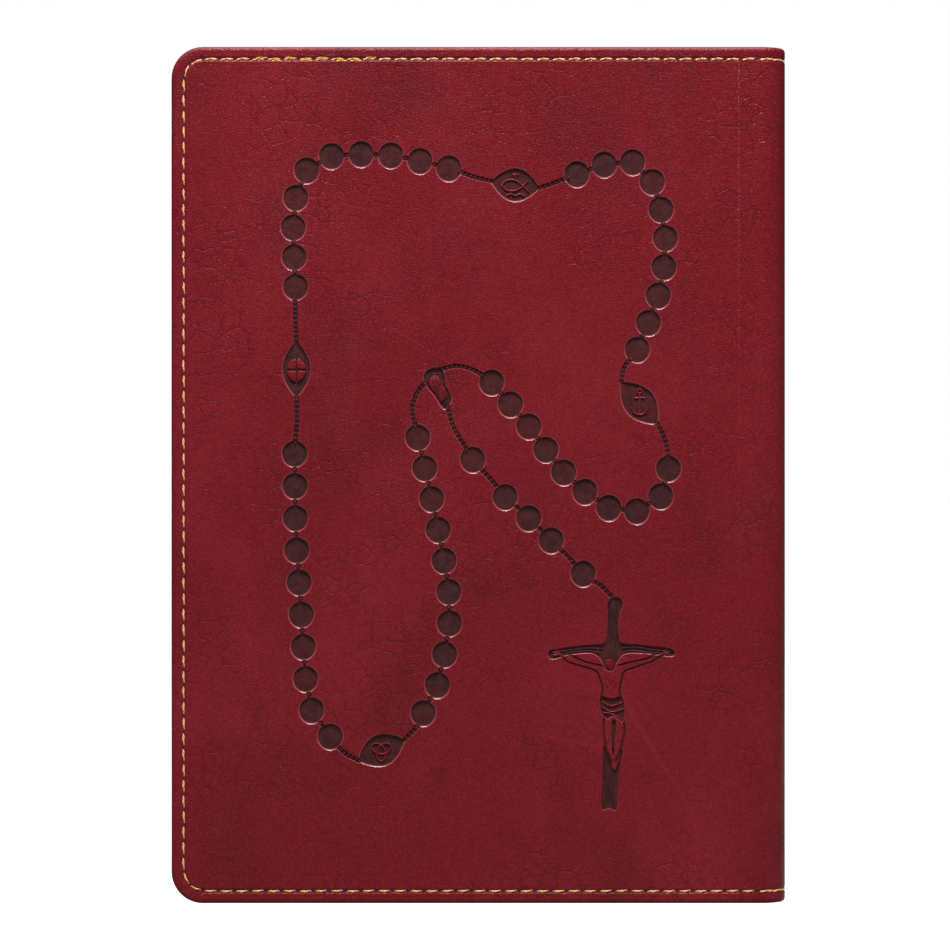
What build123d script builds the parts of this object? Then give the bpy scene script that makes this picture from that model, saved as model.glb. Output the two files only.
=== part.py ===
from build123d import *
from math import sqrt
import os

# A pocket prayer book: a sewn block of thin leaves, hung by its endpapers in a stitched case.
#
# The book stands on its tail. Its back cover faces -Y, its spine is at +X and its head is at +Z.
# The origin is the middle of the tail. Sizes are in millimetres.
#
# The case is built from the outside in: skin, board, infill card between the skin's turn-ins, and
# pastedown. Both halves of the book mirror each other in the plane Y = 0, so the pieces on the back
# cover's side are modelled and their twins are mirrored.

# Case
book_width = 136.5
book_height = 190.0
cover_corner_radius = 7.0
spine_flat = 2.0  # straight stretch in the middle of the rounded spine
joint_flat = 0.75  # straight stretch of the spine's skin between its round and the hinge line
skin_thickness = 0.8
board_thickness = 1.0
turn_in_thickness = 0.4  # the skin is pared down where it is folded over the board
turn_in_width = 14.0
pastedown_thickness = 0.2
pastedown_margin = 3.0
outer_round = 0.6
inner_round = 0.25
spine_card_thickness = 0.6
board_setback = 1.5  # the board stops this far before the hinge, so that the skin can bend

# Stitching
stitch_inset = 2.75
stitch_length_wanted = 3.5  # one stitch and the gap after it
stitch_gap = 0.55
thread_width = 0.5
thread_thickness = 0.3
groove_width = 0.9
groove_depth = 0.35
stitches_round_corner = 2
spine_stitch_angle = 30.0

# Leaves
leaf_thickness = 0.09
leaves_per_section = 8
section_count = 12
turning_sections = 4  # on each side, these sections bend at a gutter and turn with their cover
flyleaf_thickness = 0.15
page_overhang = 3.0  # the case stands out beyond the leaves at head, tail and fore edge
page_corner_radius = 6.0

# Sewing and spine
lining_thickness = 0.4
kerf_width = 0.9
kerf_depth = 0.8
kerf_count = 5
kerf_pitch = 36.0
sewing_thread_radius = 0.3
band_bead_radius = 0.8
band_tape_thickness = 0.2
band_tape_length = 8.0
lining_to_tape = 0.5

# Clearances
slip = 0.01  # between neighbouring sections
rest_gap = 0.05  # between a closed cover and its flyleaf
hinge_gap = 0.05  # between the spine's skin and a cover, along the hinge line
bend_gap = 0.05  # between the fixed and the turning part of a leaf
board_clearance = 0.1
hollow_clearance = 0.3  # between the spine lining and the spine card
band_clearance = 0.05
run_out = 1.0  # a cut that opens at an edge goes past it by this much

# Worked out from the sizes above
cover_thickness = skin_thickness + board_thickness + turn_in_thickness + pastedown_thickness
section_thickness = leaves_per_section * leaf_thickness
section_pitch = section_thickness + slip
block_thickness = section_count * section_pitch - slip
half_block = block_thickness / 2
half_thickness = half_block + slip + flyleaf_thickness + rest_gap + cover_thickness
half_width = book_width / 2
half_height = book_height / 2
page_height = book_height - 2 * page_overhang
fore_edge = page_overhang - half_width

spine_radius = half_thickness - spine_flat / 2
round_start = half_width - spine_radius
hinge_x = round_start - joint_flat
cover_end = hinge_x - hinge_gap
wrap_start = round_start - joint_flat / 3  # the spine card and the spine's stitches start here
board_end = cover_end - board_setback

# The lining's corners come nearest to the rounded card, and set where the block's spine can stand.
card_inside_radius = spine_radius - skin_thickness - spine_card_thickness
corner_reach = card_inside_radius - hollow_clearance
corner_rise = half_block - spine_flat / 2
spine_face = round_start + sqrt(corner_reach**2 - corner_rise**2) - lining_thickness

# Bend lines of the flyleaf and of the turning sections. Each stands further from the spine than the
# one outside it, so that the stacked leaves can fan out without meeting.
gutter_width = 1.9 * cover_thickness
flyleaf_bend = hinge_x - gutter_width
flyleaf_step = 3.5 * flyleaf_thickness
section_step = 2.2 * section_thickness

outer_face = half_thickness
board_level = outer_face - skin_thickness - board_thickness
turn_in_level = board_level - turn_in_thickness
inner_face = turn_in_level - pastedown_thickness
flyleaf_level = half_block + slip

mid_leaf = Plane(origin=(0, 0, half_height), x_dir=(1, 0, 0), z_dir=(0, -1, 0))
os.makedirs("parts", exist_ok=True)


def write_piece(piece, label):
    """Labels a finished piece and writes its STEP file."""
    piece.label = label
    export_step(piece, f"parts/{label}.step")


def write_pair(piece, back_label, front_label):
    """Writes a piece of the book's back half and its mirrored twin in the front half."""
    with BuildPart() as twin:
        mirror(piece, about=Plane.XZ)
    write_piece(piece, back_label)
    write_piece(twin.part, front_label)


def sheet(fore_side, spine_side, height, corner_radius):
    """A flat sheet, rounded at its two fore-edge corners, with its middle at half height."""
    with BuildSketch() as outline:
        with Locations(((fore_side + spine_side) / 2, 0)):
            Rectangle(spine_side - fore_side, height)
        if corner_radius > 0:
            fillet(outline.vertices().group_by(Axis.X)[0], corner_radius)
    return outline.sketch


def cover_sheet(inset, spine_side):
    """The cover's outline, drawn in from its three free edges."""
    return sheet(inset - half_width, spine_side, book_height - 2 * inset, cover_corner_radius - inset)


def page_sheet(spine_side):
    """The outline of a leaf that reaches from the fore edge to a line near the spine."""
    return sheet(fore_edge, spine_side, page_height, page_corner_radius)


def spine_outline(depth, start):
    """The spine's section at a depth below its skin's outer face, from a line beside the hinge."""
    with BuildSketch() as outline:
        with Locations(((start + half_width - depth) / 2, 0)):
            Rectangle(half_width - depth - start, 2 * (half_thickness - depth))
        fillet(outline.vertices().group_by(Axis.X)[-1], spine_radius - depth)
    return outline.sketch


# Back cover ---------------------------------------------------------------------------------------

with BuildPart() as cover_skin:
    with BuildSketch(mid_leaf.offset(turn_in_level)):
        add(cover_sheet(0, cover_end))
    extrude(amount=outer_face - turn_in_level)
    # the last edge of each face is the one at the hinge, which stays square
    fillet(cover_skin.faces().sort_by(Axis.Y)[0].edges().sort_by(Axis.X)[:-1], outer_round)
    fillet(cover_skin.faces().sort_by(Axis.Y)[-1].edges().sort_by(Axis.X)[:-1], inner_round)
    with BuildSketch(mid_leaf.offset(board_level)):
        add(cover_sheet(skin_thickness, cover_end + run_out))
    extrude(amount=board_thickness, mode=Mode.SUBTRACT)
    with BuildSketch(mid_leaf.offset(turn_in_level)):
        add(cover_sheet(turn_in_width, cover_end + run_out))
    extrude(amount=turn_in_thickness, mode=Mode.SUBTRACT)
    with BuildSketch(mid_leaf.offset(outer_face - groove_depth)):
        add(cover_sheet(stitch_inset - groove_width / 2, cover_end + run_out))
        add(cover_sheet(stitch_inset + groove_width / 2, cover_end + run_out), mode=Mode.SUBTRACT)
    extrude(amount=groove_depth, mode=Mode.SUBTRACT)

with BuildPart() as cover_board:
    with BuildSketch(mid_leaf.offset(board_level)):
        add(cover_sheet(skin_thickness + board_clearance, board_end))
    extrude(amount=board_thickness)

with BuildPart() as cover_infill:
    with BuildSketch(mid_leaf.offset(turn_in_level)):
        add(cover_sheet(turn_in_width + board_clearance, board_end))
    extrude(amount=turn_in_thickness)

with BuildPart() as cover_pastedown:
    with BuildSketch(mid_leaf.offset(inner_face)):
        add(cover_sheet(pastedown_margin, cover_end))
    extrude(amount=pastedown_thickness)

# The thread runs down the middle of the groove and is cut into stitches by the gaps between them.
corner_x = cover_corner_radius - half_width
corner_z = half_height - cover_corner_radius
stitch_corner_radius = cover_corner_radius - stitch_inset
across = cover_end - corner_x
across_count = round(across / stitch_length_wanted)
along_count = round(2 * corner_z / stitch_length_wanted)
corner_turn = 90 / stitches_round_corner

with BuildPart() as cover_stitches:
    with BuildSketch(mid_leaf.offset(outer_face - groove_depth)):
        add(cover_sheet(stitch_inset - thread_width / 2, cover_end))
        add(cover_sheet(stitch_inset + thread_width / 2, cover_end), mode=Mode.SUBTRACT)
        with Locations(((corner_x + cover_end) / 2, 0)):
            with GridLocations(across / across_count, 2 * (half_height - stitch_inset), across_count + 1, 2):
                Rectangle(stitch_gap, groove_width, mode=Mode.SUBTRACT)
        with Locations((stitch_inset - half_width, 0)):
            with GridLocations(1, 2 * corner_z / along_count, 1, along_count + 1):
                Rectangle(groove_width, stitch_gap, mode=Mode.SUBTRACT)
        for side, first_turn in ((1, 90 + corner_turn), (-1, 180 + corner_turn)):
            with Locations((corner_x, side * corner_z)):
                with PolarLocations(
                    stitch_corner_radius, stitches_round_corner - 1, first_turn, 90 - 2 * corner_turn
                ):
                    Rectangle(groove_width, stitch_gap, mode=Mode.SUBTRACT)
    extrude(amount=thread_thickness)

cover_pieces = {
    "skin": cover_skin,
    "board": cover_board,
    "infill": cover_infill,
    "pastedown": cover_pastedown,
    "stitches": cover_stitches,
}
for name, cover_piece in cover_pieces.items():
    write_pair(cover_piece.part, f"back_cover_{name}", f"front_cover_{name}")

# Spine of the case --------------------------------------------------------------------------------

groove_heights = [stitch_inset, book_height - stitch_inset]

with BuildPart() as spine_skin:
    with BuildSketch():
        add(spine_outline(0, hinge_x))
        add(spine_outline(skin_thickness, hinge_x), mode=Mode.SUBTRACT)
    extrude(amount=book_height)
    for height in groove_heights:
        with BuildSketch(Plane.XY.offset(height - groove_width / 2)):
            add(spine_outline(0, hinge_x))
            add(spine_outline(groove_depth, hinge_x), mode=Mode.SUBTRACT)
        extrude(amount=groove_width, mode=Mode.SUBTRACT)
write_piece(spine_skin.part, "spine_skin")

with BuildPart() as spine_card:
    with BuildSketch(Plane.XY.offset(skin_thickness)):
        add(spine_outline(skin_thickness, wrap_start))
        add(spine_outline(skin_thickness + spine_card_thickness, wrap_start), mode=Mode.SUBTRACT)
    extrude(amount=book_height - 2 * skin_thickness)
write_piece(spine_card.part, "spine_card")

gaps_per_round = round(90 / spine_stitch_angle) + 1
with BuildPart() as spine_stitches:
    for height in groove_heights:
        with BuildSketch(Plane.XY.offset(height - thread_width / 2)):
            add(spine_outline(groove_depth - thread_thickness, wrap_start))
            add(spine_outline(groove_depth, wrap_start), mode=Mode.SUBTRACT)
            for side, first_turn in ((1, 0), (-1, -90)):
                with Locations((round_start, side * spine_flat / 2)):
                    with PolarLocations(spine_radius, gaps_per_round, first_turn, 90, endpoint=True):
                        Rectangle(2 * groove_width, stitch_gap, mode=Mode.SUBTRACT)
        extrude(amount=thread_width)
write_piece(spine_stitches.part, "spine_stitches")

# Leaves -------------------------------------------------------------------------------------------


def sewn_edge():
    """Cuts the sewing kerfs into the spine edge of the sketch that is being drawn."""
    with Locations((spine_face - kerf_depth / 2, 0)):
        with GridLocations(1, kerf_pitch, 1, kerf_count):
            Rectangle(kerf_depth, kerf_width, mode=Mode.SUBTRACT)


def spine_strip(start):
    """The part of a leaf that stays with the spine, from its bend line to its sewn edge."""
    with BuildSketch() as strip:
        with Locations(((start + spine_face) / 2, 0)):
            Rectangle(spine_face - start, page_height)
    return strip.sketch


def section_level(number):
    """The depth at which a section starts, counted from the front cover."""
    return (number - 1) * section_pitch - half_block


with BuildPart() as flyleaf:
    with BuildSketch(mid_leaf.offset(flyleaf_level)):
        add(page_sheet(flyleaf_bend - bend_gap))
    extrude(amount=flyleaf_thickness)
write_pair(flyleaf.part, "back_flyleaf", "front_flyleaf")

with BuildPart() as flyleaf_joint:
    with BuildSketch(mid_leaf.offset(flyleaf_level)):
        add(spine_strip(flyleaf_bend))
    extrude(amount=flyleaf_thickness)
write_pair(flyleaf_joint.part, "back_flyleaf_joint", "front_flyleaf_joint")

for step in range(turning_sections):
    number = section_count - step
    twin_number = 1 + step
    bend = flyleaf_bend - flyleaf_step - step * section_step
    with BuildPart() as leaves:
        with BuildSketch(mid_leaf.offset(section_level(number))):
            add(page_sheet(bend - bend_gap))
        extrude(amount=section_thickness)
    write_pair(leaves.part, f"section_{number:02d}_leaves", f"section_{twin_number:02d}_leaves")
    with BuildPart() as fold:
        with BuildSketch(mid_leaf.offset(section_level(number))):
            add(spine_strip(bend))
            sewn_edge()
        extrude(amount=section_thickness)
    write_pair(fold.part, f"section_{number:02d}_fold", f"section_{twin_number:02d}_fold")

for number in range(turning_sections + 1, section_count - turning_sections + 1):
    with BuildPart() as section:
        with BuildSketch(mid_leaf.offset(section_level(number))):
            add(page_sheet(spine_face))
            sewn_edge()
        extrude(amount=section_thickness)
    write_piece(section.part, f"section_{number:02d}")

# Sewing, lining and bands -------------------------------------------------------------------------

with BuildPart() as sewing_thread:
    with BuildSketch(mid_leaf.offset(-half_block)):
        with Locations((spine_face - kerf_depth / 2, 0)):
            with GridLocations(1, kerf_pitch, 1, kerf_count):
                Circle(sewing_thread_radius)
    extrude(amount=block_thickness)
write_piece(sewing_thread.part, "sewing_thread")

lining_height = page_height - 2 * (band_tape_length + lining_to_tape)
with BuildPart() as spine_lining:
    with BuildSketch(mid_leaf.offset(-half_block)):
        with Locations((spine_face + lining_thickness / 2, 0)):
            Rectangle(lining_thickness, lining_height)
    extrude(amount=block_thickness)
write_piece(spine_lining.part, "spine_lining")

# A band is a bead that stands on the end of the block, on a tape that is glued down its spine.
bead_x = spine_face + band_tape_thickness - band_bead_radius
bead_y = page_height / 2 + band_clearance + band_bead_radius
with BuildPart() as head_band:
    with BuildSketch(mid_leaf.offset(-half_block)):
        with Locations((bead_x, bead_y)):
            Circle(band_bead_radius)
        with Locations((spine_face, page_height / 2 - band_tape_length)):
            Rectangle(
                band_tape_thickness, band_tape_length + bead_y - page_height / 2, align=(Align.MIN, Align.MIN)
            )
    extrude(amount=block_thickness)
write_piece(head_band.part, "head_band")

with BuildPart() as tail_band:
    mirror(head_band.part, about=Plane.XY.offset(half_height))
write_piece(tail_band.part, "tail_band")
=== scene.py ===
import math
import random

import bmesh
import bpy
from mathutils import Matrix, Vector


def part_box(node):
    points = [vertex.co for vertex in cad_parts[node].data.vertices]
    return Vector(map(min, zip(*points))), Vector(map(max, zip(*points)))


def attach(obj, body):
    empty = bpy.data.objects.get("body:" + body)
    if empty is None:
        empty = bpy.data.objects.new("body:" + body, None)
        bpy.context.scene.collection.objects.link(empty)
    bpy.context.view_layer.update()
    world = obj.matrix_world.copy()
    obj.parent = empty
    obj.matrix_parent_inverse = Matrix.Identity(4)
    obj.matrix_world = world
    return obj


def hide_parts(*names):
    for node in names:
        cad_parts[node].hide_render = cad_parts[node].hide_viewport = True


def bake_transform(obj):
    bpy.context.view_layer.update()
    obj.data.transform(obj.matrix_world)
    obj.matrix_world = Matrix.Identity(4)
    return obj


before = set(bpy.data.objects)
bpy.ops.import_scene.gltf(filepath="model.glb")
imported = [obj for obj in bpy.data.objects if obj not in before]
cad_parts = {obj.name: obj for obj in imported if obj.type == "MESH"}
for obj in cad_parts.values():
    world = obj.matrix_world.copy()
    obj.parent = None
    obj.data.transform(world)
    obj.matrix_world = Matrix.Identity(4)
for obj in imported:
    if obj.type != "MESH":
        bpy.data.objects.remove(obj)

bl_info = {
    "name": "Prayer book finishing",
    "version": (1, 0, 0),
    "blender": (4, 5, 0),
    "location": "View3D > Sidebar > Prayer book",
    "description": "Dresses the book's frame with stamped leather, stitching, leaves, bands and light",
    "category": "Object",
}

MM = 0.001
HAIR = 1e-6  # two places closer than this count as one

# Places that the frame gives.
COVER_LOW, COVER_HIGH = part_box("back_cover_skin")
SPINE_LOW, SPINE_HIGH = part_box("spine_skin")
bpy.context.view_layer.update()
FACE = COVER_LOW.y  # the back cover's outer face
TURN_IN = COVER_HIGH.y  # the inner face of its turn-ins
FORE = COVER_LOW.x
HEAD = COVER_HIGH.z
MIDDLE = HEAD / 2
HINGE = (COVER_HIGH.x + SPINE_LOW.x) / 2
SPINE_OUT = SPINE_HIGH.x


# Settings -----------------------------------------------------------------------------------------


class PB_CoverSettings(bpy.types.PropertyGroup):
    """Sizes and colours of the leather case"""

    corner_radius: bpy.props.FloatProperty(
        name="Corner radius", description="Round of the fore-edge corners", default=0.007, unit="LENGTH"
    )
    edge_round: bpy.props.FloatProperty(
        name="Edge round", description="Round of the padded outer edge", default=0.0009, unit="LENGTH"
    )
    skin: bpy.props.FloatProperty(
        name="Skin", description="Thickness of the leather", default=0.0008, unit="LENGTH"
    )
    wall: bpy.props.FloatProperty(
        name="Wall", description="Depth of the skin's edge at head and tail of the spine",
        default=0.0015, unit="LENGTH",
    )
    turn_in: bpy.props.FloatProperty(
        name="Turn-in", description="Width of the leather folded inside", default=0.014, unit="LENGTH"
    )
    spine_flat: bpy.props.FloatProperty(
        name="Spine flat", description="Straight stretch in the middle of the round spine",
        default=0.002, unit="LENGTH",
    )
    leather: bpy.props.FloatVectorProperty(
        name="Leather", description="Main red of the leather", subtype="COLOR", size=4,
        default=(0.188, 0.0060, 0.0120, 1),
    )
    # Bloom is also mixed onto the leather's convex edges as a painted highlight.
    bloom: bpy.props.FloatVectorProperty(
        name="Bloom", description="Paler clouds on the leather", subtype="COLOR", size=4,
        default=(0.262, 0.0145, 0.0255, 1),
    )
    # This deeper red also darkens the pebbles' valleys and the creases as painted shade.
    shade: bpy.props.FloatVectorProperty(
        name="Shade", description="Deeper clouds on the leather", subtype="COLOR", size=4,
        default=(0.100, 0.0030, 0.0062, 1),
    )
    burnish: bpy.props.FloatVectorProperty(
        name="Burnish", description="Brown of the stamped floors", subtype="COLOR", size=4,
        default=(0.040, 0.0095, 0.0105, 1),
    )


class PB_SeamSettings(bpy.types.PropertyGroup):
    """Sizes and colours of the edge stitching"""

    inset: bpy.props.FloatProperty(
        name="Inset", description="Distance of the seam from the edge", default=0.00275, unit="LENGTH"
    )
    groove: bpy.props.FloatProperty(
        name="Groove", description="Width of the dip that the seam pulls", default=0.0012, unit="LENGTH"
    )
    sink: bpy.props.FloatProperty(
        name="Sink", description="Depth of that dip", default=0.0002, unit="LENGTH"
    )
    pitch: bpy.props.FloatProperty(
        name="Pitch", description="Length of a stitch and its gap", default=0.00347, unit="LENGTH"
    )
    gap: bpy.props.FloatProperty(
        name="Gap", description="Gap between two stitches", default=0.00050, unit="LENGTH"
    )
    thread: bpy.props.FloatProperty(
        name="Thread", description="Width of the thread", default=0.00058, unit="LENGTH"
    )
    hole: bpy.props.FloatProperty(
        name="Hole", description="Radius of a needle hole", default=0.00028, unit="LENGTH"
    )
    gold: bpy.props.FloatVectorProperty(
        name="Gold", description="Colour of the thread", subtype="COLOR", size=4,
        default=(1.0, 0.60, 0.24, 1),
    )
    deep_gold: bpy.props.FloatVectorProperty(
        name="Deep gold", description="Colour where the seam is sewn twice", subtype="COLOR", size=4,
        default=(0.95, 0.47, 0.07, 1),
    )


class PB_StampSettings(bpy.types.PropertyGroup):
    """Sizes of the stamped rosary"""

    depth: bpy.props.FloatProperty(
        name="Depth", description="Depth of the stamped floors", default=0.00048, unit="LENGTH"
    )
    shoulder: bpy.props.FloatProperty(
        name="Shoulder", description="Width of the rounded shoulder round a stamp",
        default=0.00040, unit="LENGTH",
    )
    bead_width: bpy.props.FloatProperty(
        name="Bead width", description="Width of a bead", default=0.0060, unit="LENGTH"
    )
    bead_height: bpy.props.FloatProperty(
        name="Bead height", description="Height of a bead", default=0.0063, unit="LENGTH"
    )
    link_pitch: bpy.props.FloatProperty(
        name="Link pitch", description="Distance between two chain links", default=0.00105, unit="LENGTH"
    )


class PB_LeafSettings(bpy.types.PropertyGroup):
    """Sizes of the leaves"""

    per_section: bpy.props.IntProperty(
        name="Leaves", description="Leaves in a section", default=8, min=1
    )
    corner_radius: bpy.props.FloatProperty(
        name="Corner radius", description="Round of the leaves' corners", default=0.006, unit="LENGTH"
    )
    air: bpy.props.FloatProperty(
        name="Air", description="Gap between two leaves", default=0.000018, unit="LENGTH"
    )
    wander: bpy.props.FloatProperty(
        name="Wander", description="How far the trimmed edges of leaves differ", default=0.00009,
        unit="LENGTH",
    )
    bend: bpy.props.FloatProperty(
        name="Bend", description="Width over which a leaf bends in the gutter", default=0.007,
        unit="LENGTH",
    )


class PB_StageSettings(bpy.types.PropertyGroup):
    """Camera and light"""

    lens: bpy.props.FloatProperty(name="Lens", description="Focal length in mm", default=150.0)
    span: bpy.props.FloatProperty(
        name="Span", description="Width of the view at the cover", default=0.2106, unit="LENGTH"
    )
    aside: bpy.props.FloatProperty(
        name="Aside", description="How far the view's middle lies beside the book's", default=-0.0009,
        unit="LENGTH",
    )
    key: bpy.props.FloatProperty(name="Key", description="Power of the light overhead", default=15.0)
    fill: bpy.props.FloatProperty(name="Fill", description="Power of the soft light in front", default=0.4)


def settings(name):
    """The settings group of one kind of piece."""
    return getattr(bpy.context.scene, f"pb_{name}")


# Edit-mode helpers --------------------------------------------------------------------------------


def pick(*pieces):
    """Selects these pieces and no others; the first becomes active."""
    bpy.ops.object.select_all(action="DESELECT")
    for piece in pieces:
        piece.select_set(True)
    bpy.context.view_layer.objects.active = pieces[0]


def enter(piece):
    """Opens a piece in edit mode with nothing selected."""
    pick(piece)
    bpy.ops.object.mode_set(mode="EDIT")
    bpy.ops.mesh.select_mode(type="VERT")
    bpy.ops.mesh.select_all(action="DESELECT")


def leave():
    """Goes back to object mode."""
    bpy.ops.object.mode_set(mode="OBJECT")


def choose(piece, kind, test):
    """Selects only the vertices, edges or faces that pass a test. Returns how many there are."""
    bpy.ops.mesh.select_mode(type=kind)
    bpy.ops.mesh.select_all(action="DESELECT")
    mesh = bmesh.from_edit_mesh(piece.data)
    items = {"VERT": mesh.verts, "EDGE": mesh.edges, "FACE": mesh.faces}[kind]
    chosen = [item for item in items if test(item)]
    for item in chosen:
        item.select_set(True)
    bmesh.update_edit_mesh(piece.data)
    return len(chosen)


def all_at(item, axis, place):
    """True if every vertex of an edge or face lies at this place along an axis."""
    return all(abs(v.co[axis] - place) < HAIR for v in item.verts)


def middle_of(item):
    """The middle of an edge's or face's vertices."""
    return sum((v.co for v in item.verts), Vector()) / len(item.verts)


def slice_at(place, normal, clear=False):
    """Cuts edges into the piece in edit mode along a plane; clear takes away what lies past it."""
    bpy.ops.mesh.select_all(action="SELECT")
    bpy.ops.mesh.bisect(plane_co=place, plane_no=normal, clear_outer=clear, threshold=HAIR)


def add_block(name, low, high):
    """A block between two corners, with its place in its mesh."""
    low, high = Vector(low), Vector(high)
    bpy.ops.object.select_all(action="DESELECT")
    bpy.ops.mesh.primitive_cube_add(size=1, location=(low + high) / 2)
    block = bpy.context.object
    block.scale = high - low
    bpy.ops.object.transform_apply(location=True, rotation=False, scale=True)
    block.name = block.data.name = name
    return block


def join(name, pieces):
    """Joins pieces into one and names it."""
    pick(*pieces)
    if len(pieces) > 1:
        bpy.ops.object.join()
    whole = bpy.context.object
    whole.name = whole.data.name = name
    return whole


def copy_of(piece, name):
    """A copy with a mesh of its own."""
    twin = piece.copy()
    twin.data = piece.data.copy()
    bpy.context.scene.collection.objects.link(twin)
    twin.name = twin.data.name = name
    return twin


def mirror_over(piece):
    """Turns a piece of the back half into one of the front half."""
    piece.data.transform(Matrix.Scale(-1, 4, (0, 1, 0)))
    enter(piece)
    bpy.ops.mesh.select_all(action="SELECT")
    bpy.ops.mesh.flip_normals()
    leave()
    return piece


def face_out():
    """Turns the faces of the piece in edit mode outwards, and goes back to object mode."""
    bpy.ops.mesh.select_all(action="SELECT")
    bpy.ops.mesh.normals_make_consistent(inside=False)
    leave()


def smooth(piece, angle=40):
    """Shades a piece smooth, apart from its sharp edges."""
    pick(piece)
    bpy.ops.object.shade_smooth_by_angle(angle=math.radians(angle))


def settle_normals(piece):
    """Lets broad faces keep their own normals where they meet narrow ones."""
    weigh = piece.modifiers.new("Weigh", "WEIGHTED_NORMAL")
    weigh.mode = "FACE_AREA"
    weigh.weight = 100
    weigh.keep_sharp = True
    finish_modifiers(piece)


def finish_modifiers(piece):
    """Applies a piece's modifiers in their order."""
    pick(piece)
    for modifier in list(piece.modifiers):
        bpy.ops.object.modifier_apply(modifier=modifier.name)


def remove(*pieces):
    """Takes helper pieces out of the file."""
    for piece in pieces:
        bpy.data.objects.remove(piece)


# Node helpers and shared effects ------------------------------------------------------------------


def new_group(name, inputs, outputs):
    """An empty shader group with named number or vector sockets, and its two end nodes."""
    group = bpy.data.node_groups.new(name, "ShaderNodeTree")
    for socket, default in inputs.items():
        kind = "NodeSocketVector" if default is None else "NodeSocketFloat"
        made = group.interface.new_socket(socket, in_out="INPUT", socket_type=kind)
        if default is not None:
            made.default_value = default
    for socket in outputs:
        group.interface.new_socket(socket, in_out="OUTPUT", socket_type="NodeSocketFloat")
    return group, group.nodes.new("NodeGroupInput"), group.nodes.new("NodeGroupOutput")


def put(tree, kind, links=None, **values):
    """Adds a node, sets its values and links its inputs. An input is named or numbered."""
    node = tree.nodes.new(kind)
    for key, value in values.items():
        if hasattr(node, key):
            setattr(node, key, value)
        else:
            node.inputs[key.replace("_", " ")].default_value = value
    for key, source in (links or {}).items():
        if isinstance(source, (int, float, tuple)):
            node.inputs[key].default_value = source
        else:
            tree.links.new(source, node.inputs[key])
    return node


def maths(tree, operation, first, second=0.0, clamp=False):
    """A maths node's result."""
    node = put(tree, "ShaderNodeMath", {0: first, 1: second}, operation=operation)
    node.use_clamp = clamp
    return node.outputs[0]


def noise(tree, vector, scale, detail=3.0, roughness=0.55):
    """A noise texture's value."""
    node = put(tree, "ShaderNodeTexNoise", {"Vector": vector}, Scale=scale, Detail=detail)
    node.inputs["Roughness"].default_value = roughness
    return node.outputs["Fac"]


def ramp(tree, source, low, high):
    """Stretches the part of a value between two limits over 0 to 1."""
    node = put(tree, "ShaderNodeMapRange", {"Value": source}, clamp=True)
    node.inputs["From Min"].default_value = low
    node.inputs["From Max"].default_value = high
    return node.outputs["Result"]


def mix_colour(tree, share, first, second):
    """Mixes two colours by a share."""
    node = put(tree, "ShaderNodeMix", data_type="RGBA")
    for socket, value in ((0, share), (6, first), (7, second)):
        if isinstance(value, (int, float, tuple)):
            node.inputs[socket].default_value = value
        elif hasattr(value, "is_linked"):
            tree.links.new(value, node.inputs[socket])
        else:
            node.inputs[socket].default_value = tuple(value)
    return node.outputs[2]


def make_grain_group():
    """Pebbled leather: small pebbles, fine pores and long vein-like creases."""
    sizes = {"Vector": None, "Pebbles": 1500.0, "Creases": 260.0}
    group, start, end = new_group("Leather grain", sizes, ["Height", "Pebble", "Crease"])
    place = start.outputs["Vector"]
    drift = put(group, "ShaderNodeTexNoise", {"Vector": place}, Scale=420.0, Detail=2.0)
    shift = put(group, "ShaderNodeVectorMath", {0: drift.outputs["Color"]}, operation="SCALE")
    shift.inputs["Scale"].default_value = 0.0011
    moved = put(group, "ShaderNodeVectorMath", {0: place, 1: shift.outputs[0]}, operation="ADD").outputs[0]
    pebbles = put(
        group, "ShaderNodeTexVoronoi", {"Vector": moved, "Scale": start.outputs["Pebbles"]},
        feature="DISTANCE_TO_EDGE",
    )
    pebble = ramp(group, pebbles.outputs["Distance"], 0.0, 0.28)
    veins = put(
        group, "ShaderNodeTexVoronoi", {"Vector": moved, "Scale": start.outputs["Creases"]},
        feature="DISTANCE_TO_EDGE",
    )
    vein = ramp(group, veins.outputs["Distance"], 0.0, 0.07)
    patches = ramp(group, noise(group, place, 70.0, 2.0), 0.42, 0.62)
    crease = maths(group, "MULTIPLY", maths(group, "SUBTRACT", 1.0, vein), patches)
    pores = noise(group, place, 3800.0, 2.0)
    swell = noise(group, place, 210.0, 3.0)
    height = maths(group, "MULTIPLY", pebble, 0.45)
    height = maths(group, "ADD", height, maths(group, "MULTIPLY", pores, 0.25))
    height = maths(group, "ADD", height, maths(group, "MULTIPLY", swell, 0.8))
    height = maths(group, "SUBTRACT", height, maths(group, "MULTIPLY", crease, 0.55))
    group.links.new(height, end.inputs["Height"])
    group.links.new(pebble, end.inputs["Pebble"])
    group.links.new(crease, end.inputs["Crease"])
    return group


def make_cloud_group():
    """Cloudy patches of bloom and shade, with soft streaks along the height."""
    group, start, end = new_group("Clouds", {"Vector": None, "Scale": 28.0}, ["Bloom", "Shade"])
    stretch = put(group, "ShaderNodeMapping", {"Vector": start.outputs["Vector"]})
    stretch.inputs["Scale"].default_value = (1.15, 1.0, 0.8)
    place = stretch.outputs[0]
    broad = put(group, "ShaderNodeTexNoise", {"Vector": place, "Scale": start.outputs["Scale"]}, Detail=6.0)
    broad.inputs["Roughness"].default_value = 0.62
    fine = noise(group, place, 520.0, 4.0, 0.7)
    speck = noise(group, place, 1500.0, 2.0, 0.6)
    bloom = ramp(group, broad.outputs["Fac"], 0.48, 0.72)
    worn = maths(group, "MULTIPLY", bloom, maths(group, "ADD", 0.35, fine))
    worn = maths(group, "MULTIPLY", worn, maths(group, "ADD", 0.55, speck), clamp=True)
    shade = ramp(group, noise(group, place, 41.0, 5.0, 0.6), 0.5, 0.74)
    group.links.new(worn, end.inputs["Bloom"])
    group.links.new(shade, end.inputs["Shade"])
    return group


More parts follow.
